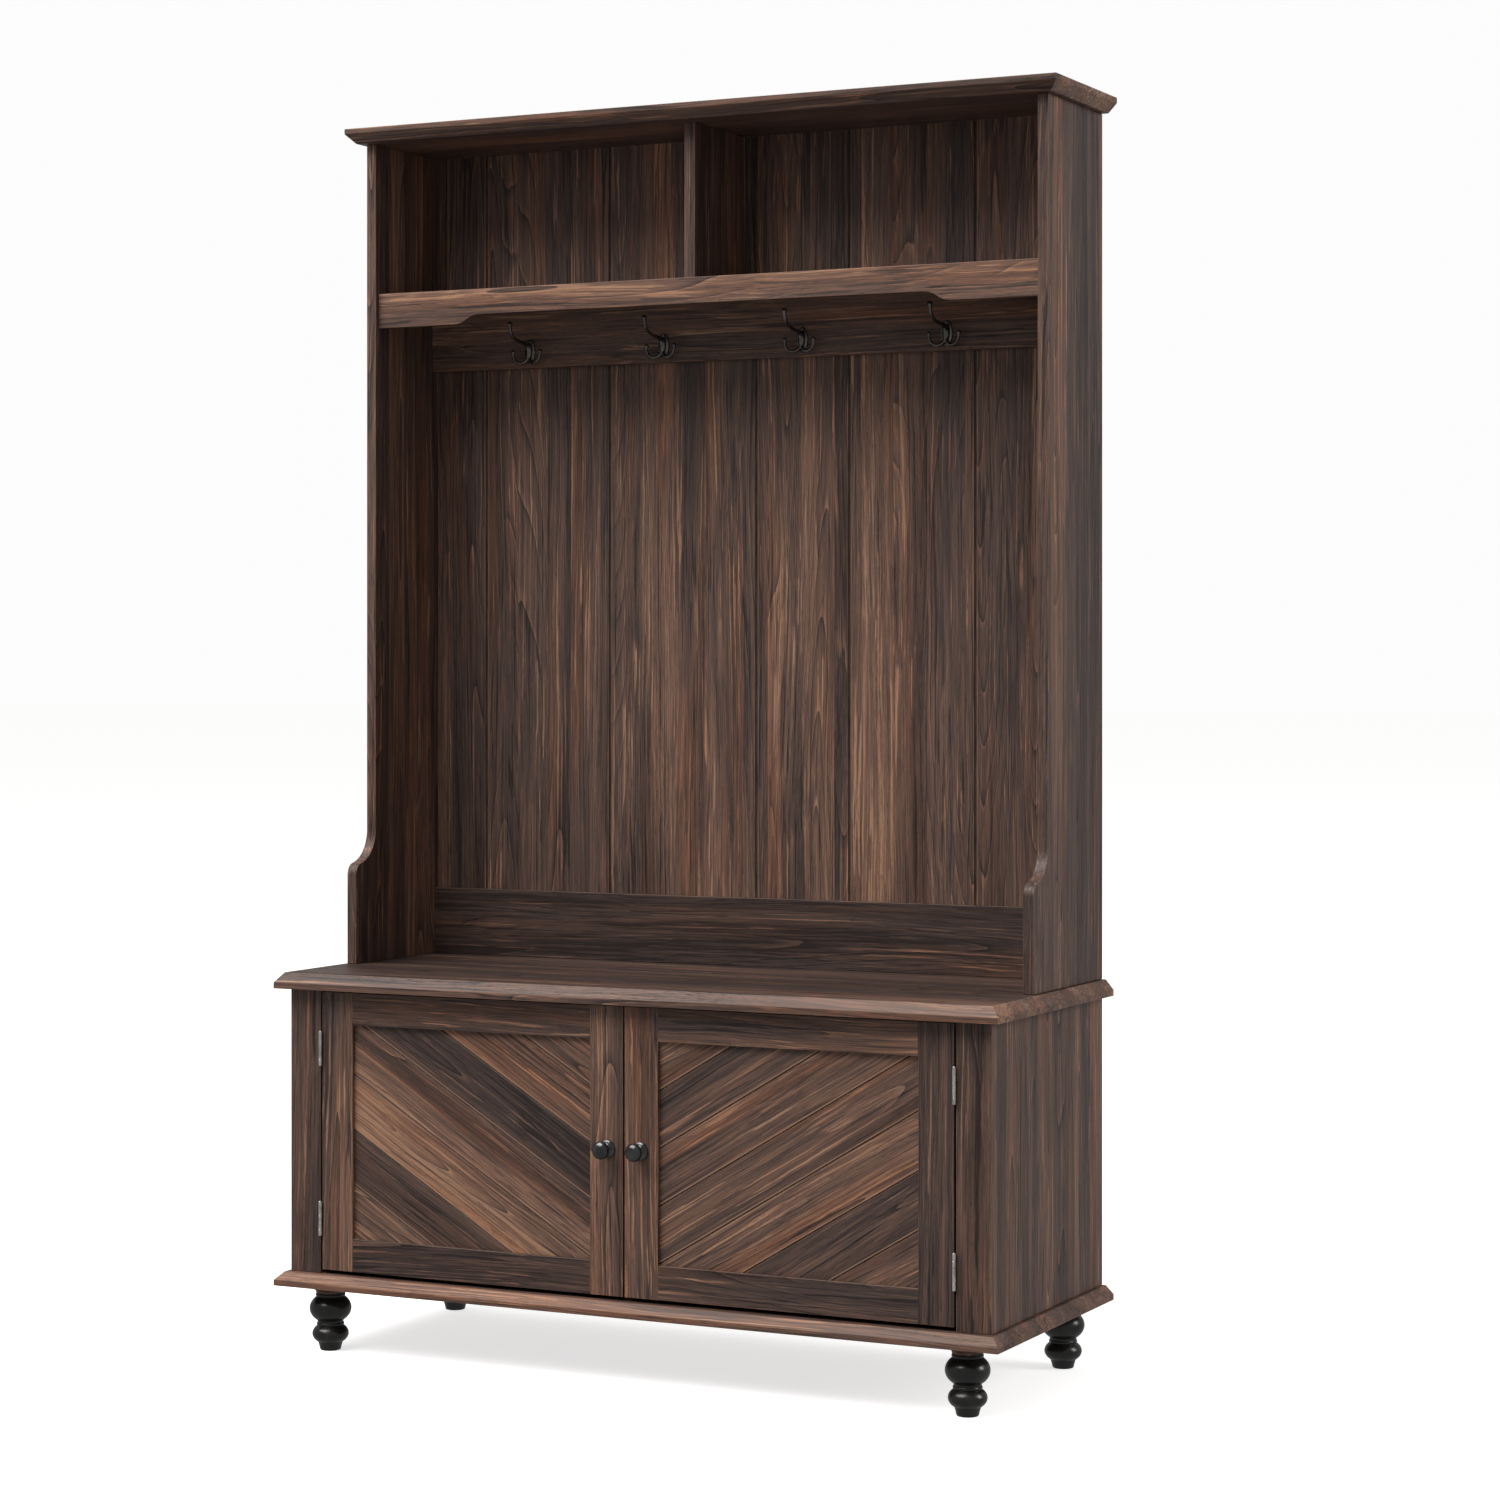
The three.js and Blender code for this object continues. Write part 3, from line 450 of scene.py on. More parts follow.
def walnut(name, turn, seed, cells="none", wide="z", strip=0.05, spread=0.1, tone=0.0, tones=(),
           rim_light=0.0):
    """A walnut finish whose grain runs along X turned up by an angle. wide is the axis across it.

    cells says how the wood is divided: not at all, into strips, or into a panel's planks or boards.
    tones are the planks' own tones, and rim_light is the painted light added to a moulded edge's tone."""
    material, t, shader = new_material(name)
    coordinates = t.add("ShaderNodeTexCoord").outputs
    place = coordinates["Object"]
    turned = t.add("ShaderNodeMapping", {"Vector": place, "Rotation": (0.0, turn, 0.0)}).outputs[0]
    across = t.add("ShaderNodeSeparateXYZ", {0: turned}).outputs["Y" if wide == "y" else "Z"]
    if cells == "strips":
        cell = strip_cells(t, across, strip, seed, randomness=0.9, kinds=997.0)
    elif cells == "planks":
        cell, distance = plank_cells(t, across, turn)
        tone = t.math("ADD", plank_tone(t, cell, tones), tone)
    elif cells == "boards":
        x = t.add("ShaderNodeSeparateXYZ", {0: place}).outputs["X"]
        board, distance = board_cells(t, x)
        strips = strip_cells(t, across, strip, seed, randomness=0.95, kinds=97.0)
        cell = t.math("MULTIPLY_ADD", strips, 7.0, board)
    if cells == "none":
        cell = 1.0 + seed * SEED_STEP
    else:
        cell = t.math("ADD", cell, seed * SEED_STEP)
    # Painted light: faces that aren't level get a lighter tone.
    if rim_light:
        tone = paint_rim_light(t, coordinates["Normal"], rim_light, tone)
    inputs = {"Place": turned, "Cell": cell, "Spread": spread, "Tone": tone}
    figure = t.add("ShaderNodeGroup", inputs, node_tree=WALNUT).outputs
    colour = figure["Color"]
    if cells in SEAMS:
        half, seam_highlight = SEAMS[cells]
        dark, light = seam_lines(t, distance, half)
        # A painted highlight beside the seam, then the seam's painted shadow.
        colour = t.mix(t.math("MULTIPLY", light, seam_highlight), colour, SEAM_HIGHLIGHT_PAINT)
        colour = t.mix(t.math("MULTIPLY", dark, SEAM_DARKNESS), colour, SEAM_SHADOW)
    # A painted highlight along the board's edges.
    colour = t.mix(t.math("MULTIPLY", painted_edge_highlight(t, place), EDGE_HIGHLIGHT_SHARE), colour, EDGE_HIGHLIGHT_PAINT)
    t.set(shader.inputs["Base Color"], colour)
    t.set(shader.inputs["Roughness"], figure["Roughness"])
    t.set(shader.inputs["Normal"], t.bump(figure["Height"], GRAIN_DEPTH, 0.5))
    shader.inputs["Specular IOR Level"].default_value = WOOD_SPECULAR
    return material


RUBBED_GAIN = 1.9  # how much lighter a rubbed place is
CLOUD_SCALE = (55.0, 55.0, 55.0)  # cycles a metre


def black_finish(name, colour, roughness, metallic, grain_size, depth):
    """Lacquer or black plating: faint orange peel, cloudy gloss and rubbed places."""
    material, t, shader = new_material(name)
    place = t.add("ShaderNodeTexCoord").outputs["Object"]
    peel = t.noise(place, (grain_size, grain_size, grain_size), detail=2.0).outputs[0]
    clouds = t.noise(place, CLOUD_SCALE, detail=3.0).outputs[0]
    rubbed = tuple(value * RUBBED_GAIN for value in colour)
    factor = t.spread(clouds, 0.42, 0.66)
    t.set(shader.inputs["Base Color"], t.mix(factor, (*colour, 1.0), (*rubbed, 1.0)))
    t.set(shader.inputs["Roughness"], t.spread(clouds, 0.3, 0.7, roughness * 0.8, roughness * 1.3))
    t.set(shader.inputs["Normal"], t.bump(peel, depth, 0.35))
    shader.inputs["Metallic"].default_value = metallic
    return material


def nickel_finish(name):
    """Nickel plate with fine brushing along Z and a few duller patches."""
    material, t, shader = new_material(name)
    place = t.add("ShaderNodeTexCoord").outputs["Object"]
    brushed = t.noise(place, (2600.0, 2600.0, 90.0), detail=2.0).outputs[0]
    dull = t.noise(place, (140.0, 140.0, 60.0), detail=3.0).outputs[0]
    colour = t.mix(t.spread(dull, 0.4, 0.7), srgb(226, 226, 224), srgb(168, 166, 162))
    t.set(shader.inputs["Base Color"], colour)
    t.set(shader.inputs["Roughness"], t.spread(brushed, 0.3, 0.7, 0.22, 0.42))
    t.set(shader.inputs["Normal"], t.bump(brushed, 0.00005, 0.4))
    shader.inputs["Metallic"].default_value = 1.0
    return material


def hardboard_finish(name):
    """Thin brown fibreboard: matted fibres over a mottled base."""
    material, t, shader = new_material(name)
    place = t.add("ShaderNodeTexCoord").outputs["Object"]
    mottle = t.noise(place, (9.0, 9.0, 9.0), detail=4.0).outputs[0]
    fibres = t.noise(place, (260.0, 260.0, 130.0), detail=3.0, distortion=2.0).outputs[0]
    tone = t.math("MULTIPLY_ADD", fibres, 0.6, t.math("MULTIPLY", mottle, 0.4))
    stops = ((0.3, srgb(62, 46, 38)), (0.5, srgb(84, 62, 50)), (0.7, srgb(108, 82, 66)))
    t.set(shader.inputs["Base Color"], t.ramp(tone, stops))
    t.set(shader.inputs["Roughness"], t.spread(fibres, 0.3, 0.7, 0.6, 0.85))
    t.set(shader.inputs["Normal"], t.bump(fibres, 0.0004, 0.5))
    return material


FOOT_BLACK = black_finish("foot_lacquer", (0.0075, 0.0072, 0.0070), 0.24, 0.0, 700.0, 0.00008)
KNOB_BLACK = black_finish("knob_plating", (0.060, 0.062, 0.064), 0.20, 0.9, 900.0, 0.00005)
HOOK_BLACK = black_finish("hook_plating", (0.105, 0.098, 0.092), 0.26, 0.9, 1100.0, 0.0001)
CATCH_BLACK = black_finish("catch_plastic", (0.018, 0.018, 0.018), 0.5, 0.0, 1500.0, 0.0001)
NICKEL = nickel_finish("nickel_plate")
HARDBOARD = hardboard_finish("fibreboard")


# ------------------------------------------------------------------ wooden boards of the frame

def soften_group():
    """Joins the faces of a board into one skin and drops its flat shading."""
    group = bpy.data.node_groups.new("board_skin", "GeometryNodeTree")
    group.interface.new_socket("Geometry", in_out="INPUT", socket_type="NodeSocketGeometry")
    group.interface.new_socket("Geometry", in_out="OUTPUT", socket_type="NodeSocketGeometry")
    given = group.nodes.new("NodeGroupInput")
    merge = group.nodes.new("GeometryNodeMergeByDistance")
    merge.inputs["Distance"].default_value = 0.01 * MM
    drop = group.nodes.new("GeometryNodeRemoveAttribute")
    drop.inputs["Name"].default_value = "custom_normal"
    sharp = group.nodes.new("GeometryNodeRemoveAttribute")
    sharp.inputs["Name"].default_value = "sharp_edge"
    smooth = group.nodes.new("GeometryNodeSetShadeSmooth")
    result = group.nodes.new("NodeGroupOutput")
    chain = (given, drop, sharp, merge, smooth, result)
    for first, second in zip(chain, chain[1:]):
        group.links.new(first.outputs[0], second.inputs[0])
    return group


SKIN = soften_group()
FLAT_ANGLE = math.radians(0.5)  # faces that turn less are one face
EDGE_ANGLE = math.radians(28)  # edges that turn more are rounded
BOARD_EDGE = 0.9 * MM
GROOVED_EDGE = 0.4 * MM
BACK_EDGE = 0.5 * MM
METAL_EDGE = 0.2 * MM


def soften(obj, width):
    """Rounds a board's edges a little, as sanding and lacquer leave them."""
    skin = obj.modifiers.new("skin", "NODES")
    skin.node_group = SKIN
    flat = obj.modifiers.new("flat", "DECIMATE")
    flat.decimate_type = "DISSOLVE"
    flat.angle_limit = FLAT_ANGLE
    bevel = obj.modifiers.new("bevel", "BEVEL")
    bevel.width = width
    bevel.segments = 2
    bevel.limit_method = "ANGLE"
    bevel.angle_limit = EDGE_ANGLE
    bevel.miter_outer = "MITER_SHARP"
    shading = obj.modifiers.new("shading", "WEIGHTED_NORMAL")
    shading.keep_sharp = False


def dress(node, material, edge):
    """Gives a part of the frame its finish and its softened edges."""
    obj = nodes[node]
    obj.data.materials.clear()
    obj.data.materials.append(material)
    soften(obj, edge)


UP = math.pi / 2
FLAT = 0.0
SIDE = dict(turn=UP, cells="strips", wide="y", strip=0.045, spread=0.12)
PLANKS = dict(cells="planks", spread=0.0)

# Grain direction, seed, layout of the wood and tone of each wooden node, and the painted light on its
# moulded edge.
BOARDS = {
    "base_board": dict(turn=FLAT, seed=1, rim_light=0.10),
    "seat_board": dict(turn=FLAT, seed=2, cells="strips", wide="y", strip=0.085, spread=0.08,
                       tone=-0.16, rim_light=0.30),
    "top_board": dict(turn=FLAT, seed=3, rim_light=0.08),
    "shelf_apron": dict(turn=FLAT, seed=4, tone=0.17),
    "shelf_board": dict(turn=FLAT, seed=5),
    # The hook rail's lighter tone is painted light, lifting it where it lies in shade under the shelf.
    "hook_rail": dict(turn=FLAT, seed=6, tone=0.08),
    "seat_back_rail": dict(turn=FLAT, seed=7, tone=-0.25),
    "cabinet_side_left": dict(SIDE, seed=8),
    "cabinet_side_right": dict(SIDE, seed=9),
    "face_stile_left": dict(turn=UP, seed=10, tone=0.02),
    "face_stile_right": dict(turn=UP, seed=11, tone=0.07),
    "cabinet_partition": dict(turn=UP, seed=12, wide="y"),
    "hutch_side_left": dict(SIDE, seed=13, tone=0.03),
    "hutch_side_right": dict(SIDE, seed=14, tone=-0.06),
    "hutch_back_panel": dict(turn=UP, seed=15, cells="boards", strip=0.055, spread=0.11, tone=0.01),
    "cubby_divider": dict(turn=UP, seed=16, wide="y", tone=0.09),
    "left_door_meeting_stile": dict(turn=UP, seed=17, tone=0.12),
    "left_door_hinge_stile": dict(turn=UP, seed=18, tone=0.07),
    "left_door_top_rail": dict(turn=FLAT, seed=19, tone=-0.02),
    "left_door_bottom_rail": dict(turn=FLAT, seed=20, tone=-0.08),
    "right_door_meeting_stile": dict(turn=UP, seed=21, tone=0.06),
    "right_door_hinge_stile": dict(turn=UP, seed=22, tone=-0.09),
    "right_door_top_rail": dict(turn=FLAT, seed=23, tone=-0.04),
    "right_door_bottom_rail": dict(turn=FLAT, seed=24, tone=-0.08),
    "left_door_panel": dict(PLANKS, turn=math.pi - PLANK_ANGLE, seed=25, tone=0.05, tones=LEFT_PLANKS),
    "right_door_panel": dict(PLANKS, turn=PLANK_ANGLE, seed=26, tone=0.03, tones=RIGHT_PLANKS),
}
for board, look in BOARDS.items():
    grooved = look.get("cells") in SEAMS
    dress(board, walnut("walnut_" + board, **look), GROOVED_EDGE if grooved else BOARD_EDGE)

dress("cabinet_back", HARDBOARD, BACK_EDGE)
for side in ("left", "right"):
    dress(f"{side}_catch", CATCH_BLACK, GROOVED_EDGE)
    dress(f"{side}_strike_plate", NICKEL, METAL_EDGE)


# ------------------------------------------------------------------ turned and swept pieces

TURNED_CREASE = math.radians(32)
HINGE_CREASE = math.radians(30)
ON_AXIS = 1e-7  # a radius below this is a point, in metres


def place_mesh(name, mesh, material, body, node):
    """Makes a piece of a mesh. It rides on a body and stands for a node of the frame."""
    for polygon in mesh.polygons:
        polygon.use_smooth = True
    mesh.materials.append(material)
    piece = bpy.data.objects.new(name, mesh)
    scene.collection.objects.link(piece)
    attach(piece, body)
    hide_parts(node)


def around(sides):
    """Cosine and sine of even steps round a circle."""
    angles = (2 * math.pi * k / sides for k in range(sides))
    return [(math.cos(angle), math.sin(angle)) for angle in angles]


def join_rings(shape, rings):
    """Adds the faces between neighbouring rings of vertices."""
    for low, high in zip(rings, rings[1:]):
        count = len(low)
        for k in range(count):
            after = (k + 1) % count
            shape.faces.new((low[k], low[after], high[after], high[k]))


def finished_mesh(shape, name, crease):
    """Turns a bmesh into a mesh with outward faces, smooth but for its creases."""
    bmesh.ops.recalc_face_normals(shape, faces=shape.faces)
    mesh = bpy.data.meshes.new(name)
    shape.to_mesh(mesh)
    shape.free()
    mesh.set_sharp_from_angle(angle=crease)
    return mesh


def lathe_mesh(name, profile, centre, axis="z", segments=72):
    """Turns a closed profile of (radius, height) pairs, in metres, about an axis through centre."""
    shape = bmesh.new()
    rings = []
    for radius, height in profile:
        ring = []
        for across, up in around(segments) if radius > ON_AXIS else [(0.0, 0.0)]:
            u, v = radius * across, radius * up
            local = Vector((u, v, height)) if axis == "z" else Vector((u, -height, v))
            ring.append(shape.verts.new(Vector(centre) + local))
        rings.append(ring)
    for low, high in zip(rings, rings[1:]):
        for k in range(segments):
            corners = []
            for vertex in (low[k % len(low)], low[(k + 1) % len(low)],
                           high[(k + 1) % len(high)], high[k % len(high)]):
                if vertex not in corners:
                    corners.append(vertex)
            if len(corners) > 2:
                shape.faces.new(corners)
    return finished_mesh(shape, name, TURNED_CREASE)


def swell(bottom, half_height, widest, lower, upper, steps):
    """A ball's profile between two radii, as (radius, height) pairs in millimetres."""
    start = -math.acos(lower / widest)
    stop = math.acos(upper / widest)
    middle = bottom - half_height * math.sin(start)
    points = []
    for k in range(steps + 1):
        angle = start + (stop - start) * k / steps
        points.append((widest * math.cos(angle), middle + half_height * math.sin(angle)))
    return points


def bead(bottom, top, inner, outer, steps=8):
    """A half-round bead that stands out from inner to outer radius."""
    middle, half = (bottom + top) / 2, (top - bottom) / 2
    points = []
    for k in range(steps + 1):
        angle = -math.pi / 2 + math.pi * k / steps
        points.append((inner + (outer - inner) * math.cos(angle), middle + half * math.sin(angle)))
    return points


def in_metres(points):
    """(radius, height) pairs in millimetres, as metres."""
    return [(radius * MM, height * MM) for radius, height in points]


def middle_of(node):
    """The middle of a node's box at rest."""
    low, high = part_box(node)
    return (low + high) / 2


# Feet, as (radius, height) in millimetres: sole, step, lower ball, bead, neck, main ball, top bead.
FOOT = [(0, 0), (13.0, 0), (14.6, 0.5), (15.3, 1.6), (15.7, 3.4), (16.4, 6.4), (17.6, 10.2)]
FOOT += [(18.3, 11.9)]
FOOT += swell(12.2, 17.0, 26.8, 18.4, 19.3, 26)
FOOT += bead(36.5, 40.7, 19.2, 20.2)
FOOT += [(19.1, 41.2), (19.1, 43.2)]
FOOT += swell(43.76, 23.0, 30.8, 19.3, 20.7, 32)
FOOT += bead(78.9, 83.6, 20.7, 21.8)
FOOT += [(20.8, 84.0), (20.8, 84.47), (0, 84.47)]

# Collars flare fast from the foot up to the base board.
COLLAR = [(0, 0), (20.8, 0), (21.4, 0.4), (21.6, 1.4), (22.2, 2.8), (23.6, 4.2), (25.8, 5.6)]
COLLAR += [(28.4, 6.9), (30.4, 8.0), (31.4, 9.0), (31.9, 10.0), (32.0, 11.0), (32.0, 11.8), (0, 11.8)]
COLLAR_SEED = 71
COLLAR_TONE = 0.06

for number, corner in enumerate(("front_left", "front_right", "back_left", "back_right")):
    foot = f"foot_{corner}"
    centre = middle_of(foot)
    centre.z = 0.0
    mesh = lathe_mesh(foot + "_turning", in_metres(FOOT), centre)
    place_mesh(foot + "_turning", mesh, FOOT_BLACK, "frame", foot)
    collar = f"foot_collar_{corner}"
    centre = middle_of(collar)
    centre.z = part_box(collar)[0].z
    mesh = lathe_mesh(collar + "_turning", in_metres(COLLAR), centre)
    finish = walnut(f"walnut_{collar}", FLAT, COLLAR_SEED + number, tone=COLLAR_TONE)
    place_mesh(collar + "_turning", mesh, finish, "frame", collar)

# Knobs, as (radius, reach) in millimetres: a crowned base, a cove up to the neck, a flattened ball.
KNOB_REACH = 28.0
KNOB_BEHIND = 0.3 * MM  # from the back of the knob to the door
KNOB = [(0, 0.3), (12.4, 0.3), (12.8, 0.7), (12.8, 1.9), (12.3, 2.9), (10.8, 3.9), (8.8, 4.6)]
KNOB += [(7.2, 5.3), (6.2, 6.3), (5.5, 7.8), (5.1, 9.6), (5.1, 11.6)]
KNOB += swell(12.6, 8.0, 12.8, 5.4, 0.02, 30)
knob_top = KNOB[-1][1]
KNOB = [(radius, height * KNOB_REACH / knob_top) for radius, height in KNOB[:-1]] + [(0, KNOB_REACH)]

for side in ("left", "right"):
    node = f"{side}_door_knob"
    centre = middle_of(node)
    centre.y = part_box(node)[1].y + KNOB_BEHIND
    mesh = lathe_mesh(node + "_turning", in_metres(KNOB), centre, axis="y")
    place_mesh(node + "_turning", mesh, KNOB_BLACK, f"{side}_door", node)
    dress(f"{side}_knob_screw", NICKEL, METAL_EDGE)


# ------------------------------------------------------------------ coat hooks

# A plate's rounded shoulder, as shares of its half width and of its ridge.
SHOULDER_ACROSS = 0.5
SHOULDER_RISE = 0.55
# Casting: the size of the voxels, the rounds of smoothing, and the share of the faces kept.
CAST_VOXEL = 0.55 * MM
CAST_SMOOTHING = 4
CAST_KEEP = 0.45
HOOK_ROOT_UP = 37.5 * MM  # root of the upper prong above the hook rail's lower edge


def smooth_path(points, per_span):
    """Points of a Catmull-Rom curve through the given points."""
    points = [Vector(point) for point in points]
    ends = [2 * points[0] - points[1]] + points + [2 * points[-1] - points[-2]]
    path = []
    for k in range(1, len(ends) - 2):
        a, b, c, d = ends[k - 1:k + 3]
        for step in range(per_span):
            s = step / per_span
            path.append(0.5 * (2 * b + (c - a) * s + (2 * a - 5 * b + 4 * c - d) * s * s
                               + (3 * b - a - 3 * c + d) * s ** 3))
    path.append(points[-1])
    return path


def sweep(shape, points, radii, sides=16, per_span=8):
    """Adds a round closed bar to a bmesh. radii has one value for each given point."""
    path = smooth_path(points, per_span)
    sizes = [item.x for item in smooth_path([(radius, 0, 0) for radius in radii], per_span)]
    last = len(path) - 1
    tangents = [(path[min(k + 1, last)] - path[max(k - 1, 0)]).normalized() for k in range(last + 1)]
    normal = tangents[0].orthogonal().normalized()
    rings = []
    for centre, tangent, size in zip(path, tangents, sizes):
        normal = (normal - tangent * normal.dot(tangent)).normalized()
        side = tangent.cross(normal)
        ring = []
        for u, v in around(sides):
            ring.append(shape.verts.new(centre + size * (normal * u + side * v)))
        rings.append(ring)
    join_rings(shape, rings)
    shape.faces.new(rings[0][::-1])
    shape.faces.new(rings[-1])


def round_tip(shape, centre, radius, stretch=1.0):
    """Adds a ball, stretched upward by a factor."""
    made = bmesh.ops.create_uvsphere(shape, u_segments=20, v_segments=14, radius=radius)
    for vertex in made["verts"]:
        vertex.co.z *= stretch
        vertex.co += Vector(centre)


def ridged_plate(shape, outline, back, front, ridge):
    """Adds a leaf-shaped plate with a raised middle ridge. outline is (half width, height) pairs."""
    rows = []
    for half, height in outline:
        shoulder, raised = half * SHOULDER_ACROSS, front - ridge * SHOULDER_RISE
        section = ((-half, back), (-half, front), (-shoulder, raised), (0, front - ridge),
                   (shoulder, raised), (half, front), (half, back))
        rows.append([shape.verts.new((across, deep, height)) for across, deep in section])
    join_rings(shape, rows)
    shape.faces.new(rows[0][::-1])
    shape.faces.new(rows[-1])


def hook_mesh():
    """One cast hook, in millimetres. The rail's face is Y = 0 and Z = 0 is the upper prong's root."""
    shape = bmesh.new()
    plate = [(1.2, -31.6), (4.2, -29.4), (6.9, -25.0), (8.6, -19.0), (8.9, -13.0), (8.5, -7.0),
             (7.0, -1.2), (4.4, 3.4), (1.6, 5.7)]
    ridged_plate(shape, plate, back=-0.4, front=-2.5, ridge=1.0)
    shield = [(0.8, -26.0), (3.4, -22.6), (5.0, -17.0), (5.2, -11.0), (4.6, -5.0), (3.2, -1.0)]
    ridged_plate(shape, shield, back=-3.0, front=-7.2, ridge=3.0)
    upper = [(0, -5.0, -20.0), (0, -6.6, -10.0), (0, -13.0, -2.4), (0, -34.0, 0.2), (0, -51.0, 4.6),
             (0, -59.5, 12.0), (0, -62.3, 19.5), (0, -63.0, 24.0)]
    sweep(shape, upper, [3.2, 3.4, 3.3, 2.8, 2.6, 2.7, 2.9, 3.2])
    round_tip(shape, (0, -63.0, 24.2), 4.1, stretch=1.08)
    for side in (-1, 1):
        lower = [(0, -5.5, -22.0), (side * 6.0, -8.6, -29.0), (side * 13.5, -11.4, -30.6),
                 (side * 20.2, -12.0, -26.4), (side * 23.2, -12.0, -19.0), (side * 23.5, -12.0, -14.2)]
        sweep(shape, lower, [3.0, 2.9, 2.5, 2.3, 2.3, 2.5])
        round_tip(shape, (side * 23.5, -12.0, -13.4), 3.6)
    for vertex in shape.verts:
        vertex.co *= MM
    mesh = bpy.data.meshes.new("hook_draft")
    shape.to_mesh(mesh)
    shape.free()
    draft = bpy.data.objects.new("hook_draft", mesh)
    scene.collection.objects.link(draft)
    remesh = draft.modifiers.new("cast", "REMESH")
    remesh.mode = "VOXEL"
    remesh.voxel_size = CAST_VOXEL
    remesh.use_smooth_shade = True
    smooth = draft.modifiers.new("flow", "SMOOTH")
    smooth.factor = 0.5
    smooth.iterations = CAST_SMOOTHING
    thin = draft.modifiers.new("thin", "DECIMATE")
    thin.ratio = CAST_KEEP
    bpy.context.view_layer.update()
    ready = draft.evaluated_get(bpy.context.evaluated_depsgraph_get())
    cast = bpy.data.meshes.new_from_object(ready)
    bpy.data.objects.remove(draft)
    return cast


hook_base = hook_mesh()
rail_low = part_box("hook_rail")[0]
for node in ("hook_1", "hook_2", "hook_3", "hook_4"):
    mesh = hook_base.copy()
    root = Vector((middle_of(node).x, rail_low.y, rail_low.z + HOOK_ROOT_UP))
    for vertex in mesh.vertices:
        vertex.co += root
    place_mesh(node + "_casting", mesh, HOOK_BLACK, "frame", node)


# ------------------------------------------------------------------ hinges

HINGE_LENGTH = 50 * MM
KNUCKLES = 5
KNUCKLE_RADIUS = 2.7 * MM
KNUCKLE_GAP = 0.32 * MM
PIN_RADIUS = 1.35 * MM
PIN_FIT = 0.1 * MM
LEAF_THICKNESS = 1.0 * MM
LEAF_GAP = 0.4 * MM
LEAF_DEPTH = 17 * MM
SCREW_RISES = (-17 * MM, 0.0, 17 * MM)
SCREW_DEPTH = 10 * MM
# How far behind the pin axis the leaf starts, and where the wraps that carry the knuckles run.
LEAF_START = KNUCKLE_RADIUS * 0.86
WRAP_START = KNUCKLE_RADIUS * 0.3
WRAP_STOP = KNUCKLE_RADIUS * 1.2
LEAF_CHAMFER = 0.15 * MM
WRAP_CHAMFER = 0.1 * MM
KNUCKLE_CHAMFER = 0.25 * MM
# A screw head's (radius, height) in millimetres, out from the leaf, and how deep its cross is cut.
SCREW_HEAD = ((2.6, -0.06), (2.6, 0.04), (2.35, 0.11), (1.5, 0.13), (0.9, 0.13))
SCREW_CROSS = -0.05
CROSS_RADIUS = 2.0
CROSS_WIDTH = 0.3  # limit of sin(2 * angle) from an arm's middle line
SCREW_SIDES = 32


def tube_mesh(shape, centre, low, high, outer, inner, chamfer, sides=28):
    """Adds a short upright tube with chamfered ends."""
    section = [(inner, low), (outer - chamfer, low), (outer, low + chamfer), (outer, high - chamfer),
               (outer - chamfer, high), (inner, high)]
    rings = []
    for radius, height in section:
        rings.append([shape.verts.new(centre + Vector((radius * u, radius * v, height)))
                      for u, v in around(sides)])
    join_rings(shape, rings + rings[:1])


def box_mesh(shape, low, high, chamfer):
    """Adds a box with rounded edges."""
    made = bmesh.ops.create_cube(shape, size=1.0)
    for vertex in made["verts"]:
        for axis in range(3):
            vertex.co[axis] = low[axis] if vertex.co[axis] < 0 else high[axis]
    edges = []
    for vertex in made["verts"]:
        edges += [edge for edge in vertex.link_edges if edge not in edges]
    bmesh.ops.bevel(shape, geom=edges, offset=chamfer, segments=2, affect="EDGES", profile=0.5)


def screw_head(shape, centre, out):
    """Adds a countersunk head with a cross recess, standing just proud of the leaf towards X."""
    rings = []
    for radius, lift in SCREW_HEAD:
        ring = []
        for u, v in around(SCREW_SIDES):
            in_cross = abs(2 * u * v) < CROSS_WIDTH and radius < CROSS_RADIUS
            height = SCREW_CROSS if in_cross else lift
            ring.append(shape.verts.new(centre + Vector((out * height, radius * u, radius * v)) * MM))
        rings.append(ring)
    join_rings(shape, rings)
    middle = shape.verts.new(centre + Vector((out * SCREW_CROSS, 0.0, 0.0)) * MM)
    inner = rings[-1]
    for first, second in zip(inner, inner[1:] + inner[:1]):
        shape.faces.new((first, second, middle))
    shape.faces.new(rings[0][::-1])


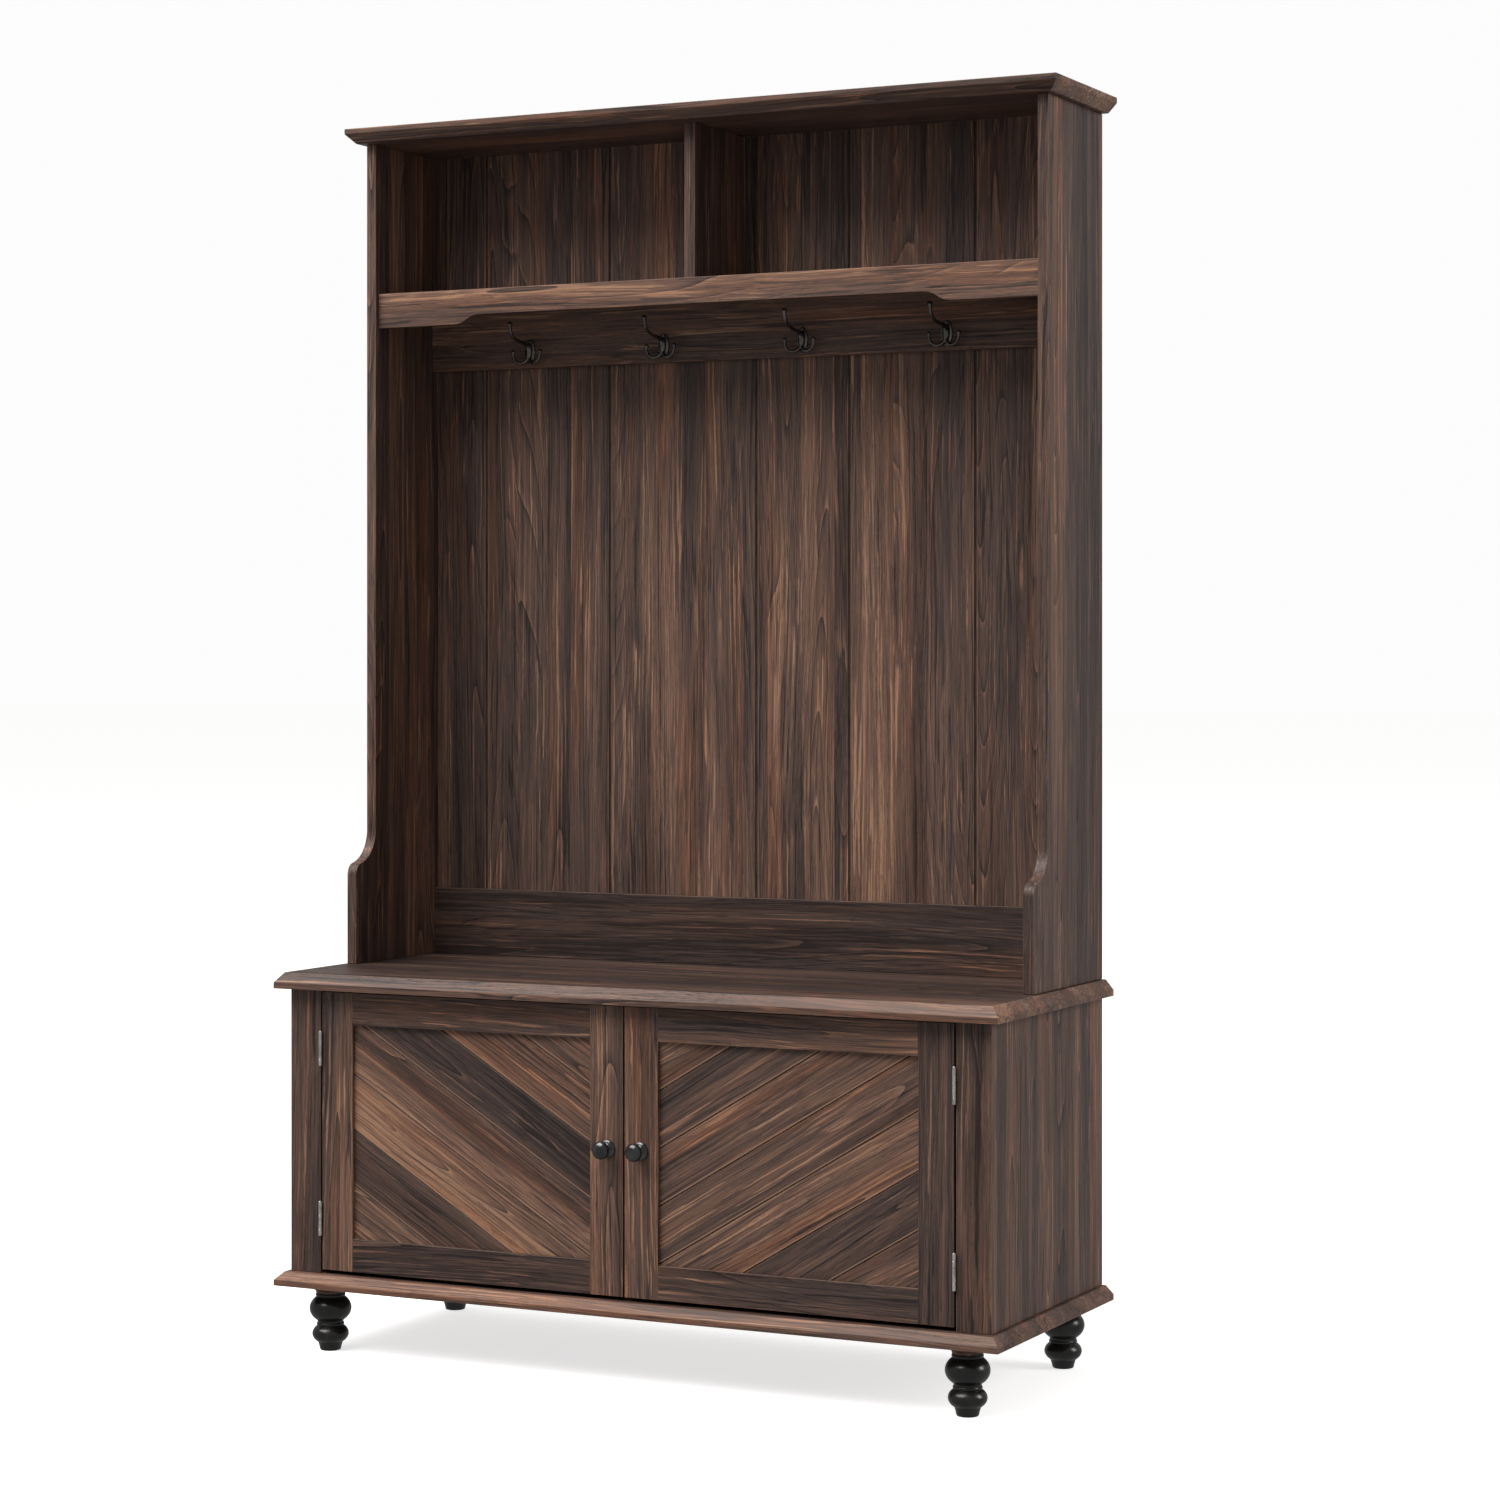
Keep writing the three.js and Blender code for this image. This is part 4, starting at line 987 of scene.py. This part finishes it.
def hinge_leaf(name, axis, own, side):
    """A leaf and its knuckles. side is the X direction of the leaf from the pin axis."""
    shape = bmesh.new()
    near, far = side * LEAF_GAP / 2, side * (LEAF_GAP / 2 + LEAF_THICKNESS)
    left, right = axis.x + min(near, far), axis.x + max(near, far)
    low = Vector((left, axis.y + LEAF_START, axis.z - HINGE_LENGTH / 2))
    high = Vector((right, axis.y + LEAF_DEPTH, axis.z + HINGE_LENGTH / 2))
    box_mesh(shape, low, high, LEAF_CHAMFER)
    for rise in SCREW_RISES:
        screw_head(shape, Vector((axis.x + near, axis.y + SCREW_DEPTH, axis.z + rise)), -side)
    step = HINGE_LENGTH / KNUCKLES
    for k in range(own, KNUCKLES, 2):
        start = -HINGE_LENGTH / 2 + k * step + KNUCKLE_GAP / 2
        end = start + step - KNUCKLE_GAP
        tube_mesh(shape, axis, start, end, KNUCKLE_RADIUS, PIN_RADIUS + PIN_FIT, KNUCKLE_CHAMFER)
        wrap_low = Vector((left, axis.y + WRAP_START, axis.z + start))
        wrap_high = Vector((right, axis.y + WRAP_STOP, axis.z + end))
        box_mesh(shape, wrap_low, wrap_high, WRAP_CHAMFER)
    return finished_mesh(shape, name, HINGE_CREASE)


# The pin's (radius, height) from its foot to its crowned head, which stands on the top knuckle.
PIN_REACH = HINGE_LENGTH / 2
PIN = [(0, -PIN_REACH), (PIN_RADIUS * 0.9, -PIN_REACH), (PIN_RADIUS, -PIN_REACH + 0.2 * MM),
       (PIN_RADIUS, PIN_REACH + 0.3 * MM), (2.1 * MM, PIN_REACH + 0.3 * MM),
       (2.2 * MM, PIN_REACH + 0.5 * MM), (2.0 * MM, PIN_REACH + 0.9 * MM),
       (1.4 * MM, PIN_REACH + 1.2 * MM), (0, PIN_REACH + 1.3 * MM)]

for side, out in (("left", -1), ("right", 1)):
    for level in ("upper", "lower"):
        stem = f"{side}_{level}_hinge"
        axis = middle_of(f"{stem}_pin")
        axis.z = middle_of(f"{stem}_cabinet_leaf").z
        leaves = ((f"{stem}_cabinet_leaf", 0, out, "frame"),
                  (f"{stem}_door_leaf", 1, -out, f"{side}_door"))
        for node, own, lean, body in leaves:
            mesh = hinge_leaf(node + "_plate", axis, own, lean)
            place_mesh(node + "_plate", mesh, NICKEL, body, node)
        mesh = lathe_mesh(stem + "_pin_rod", PIN, axis, segments=24)
        place_mesh(stem + "_pin_rod", mesh, NICKEL, "frame", f"{stem}_pin")
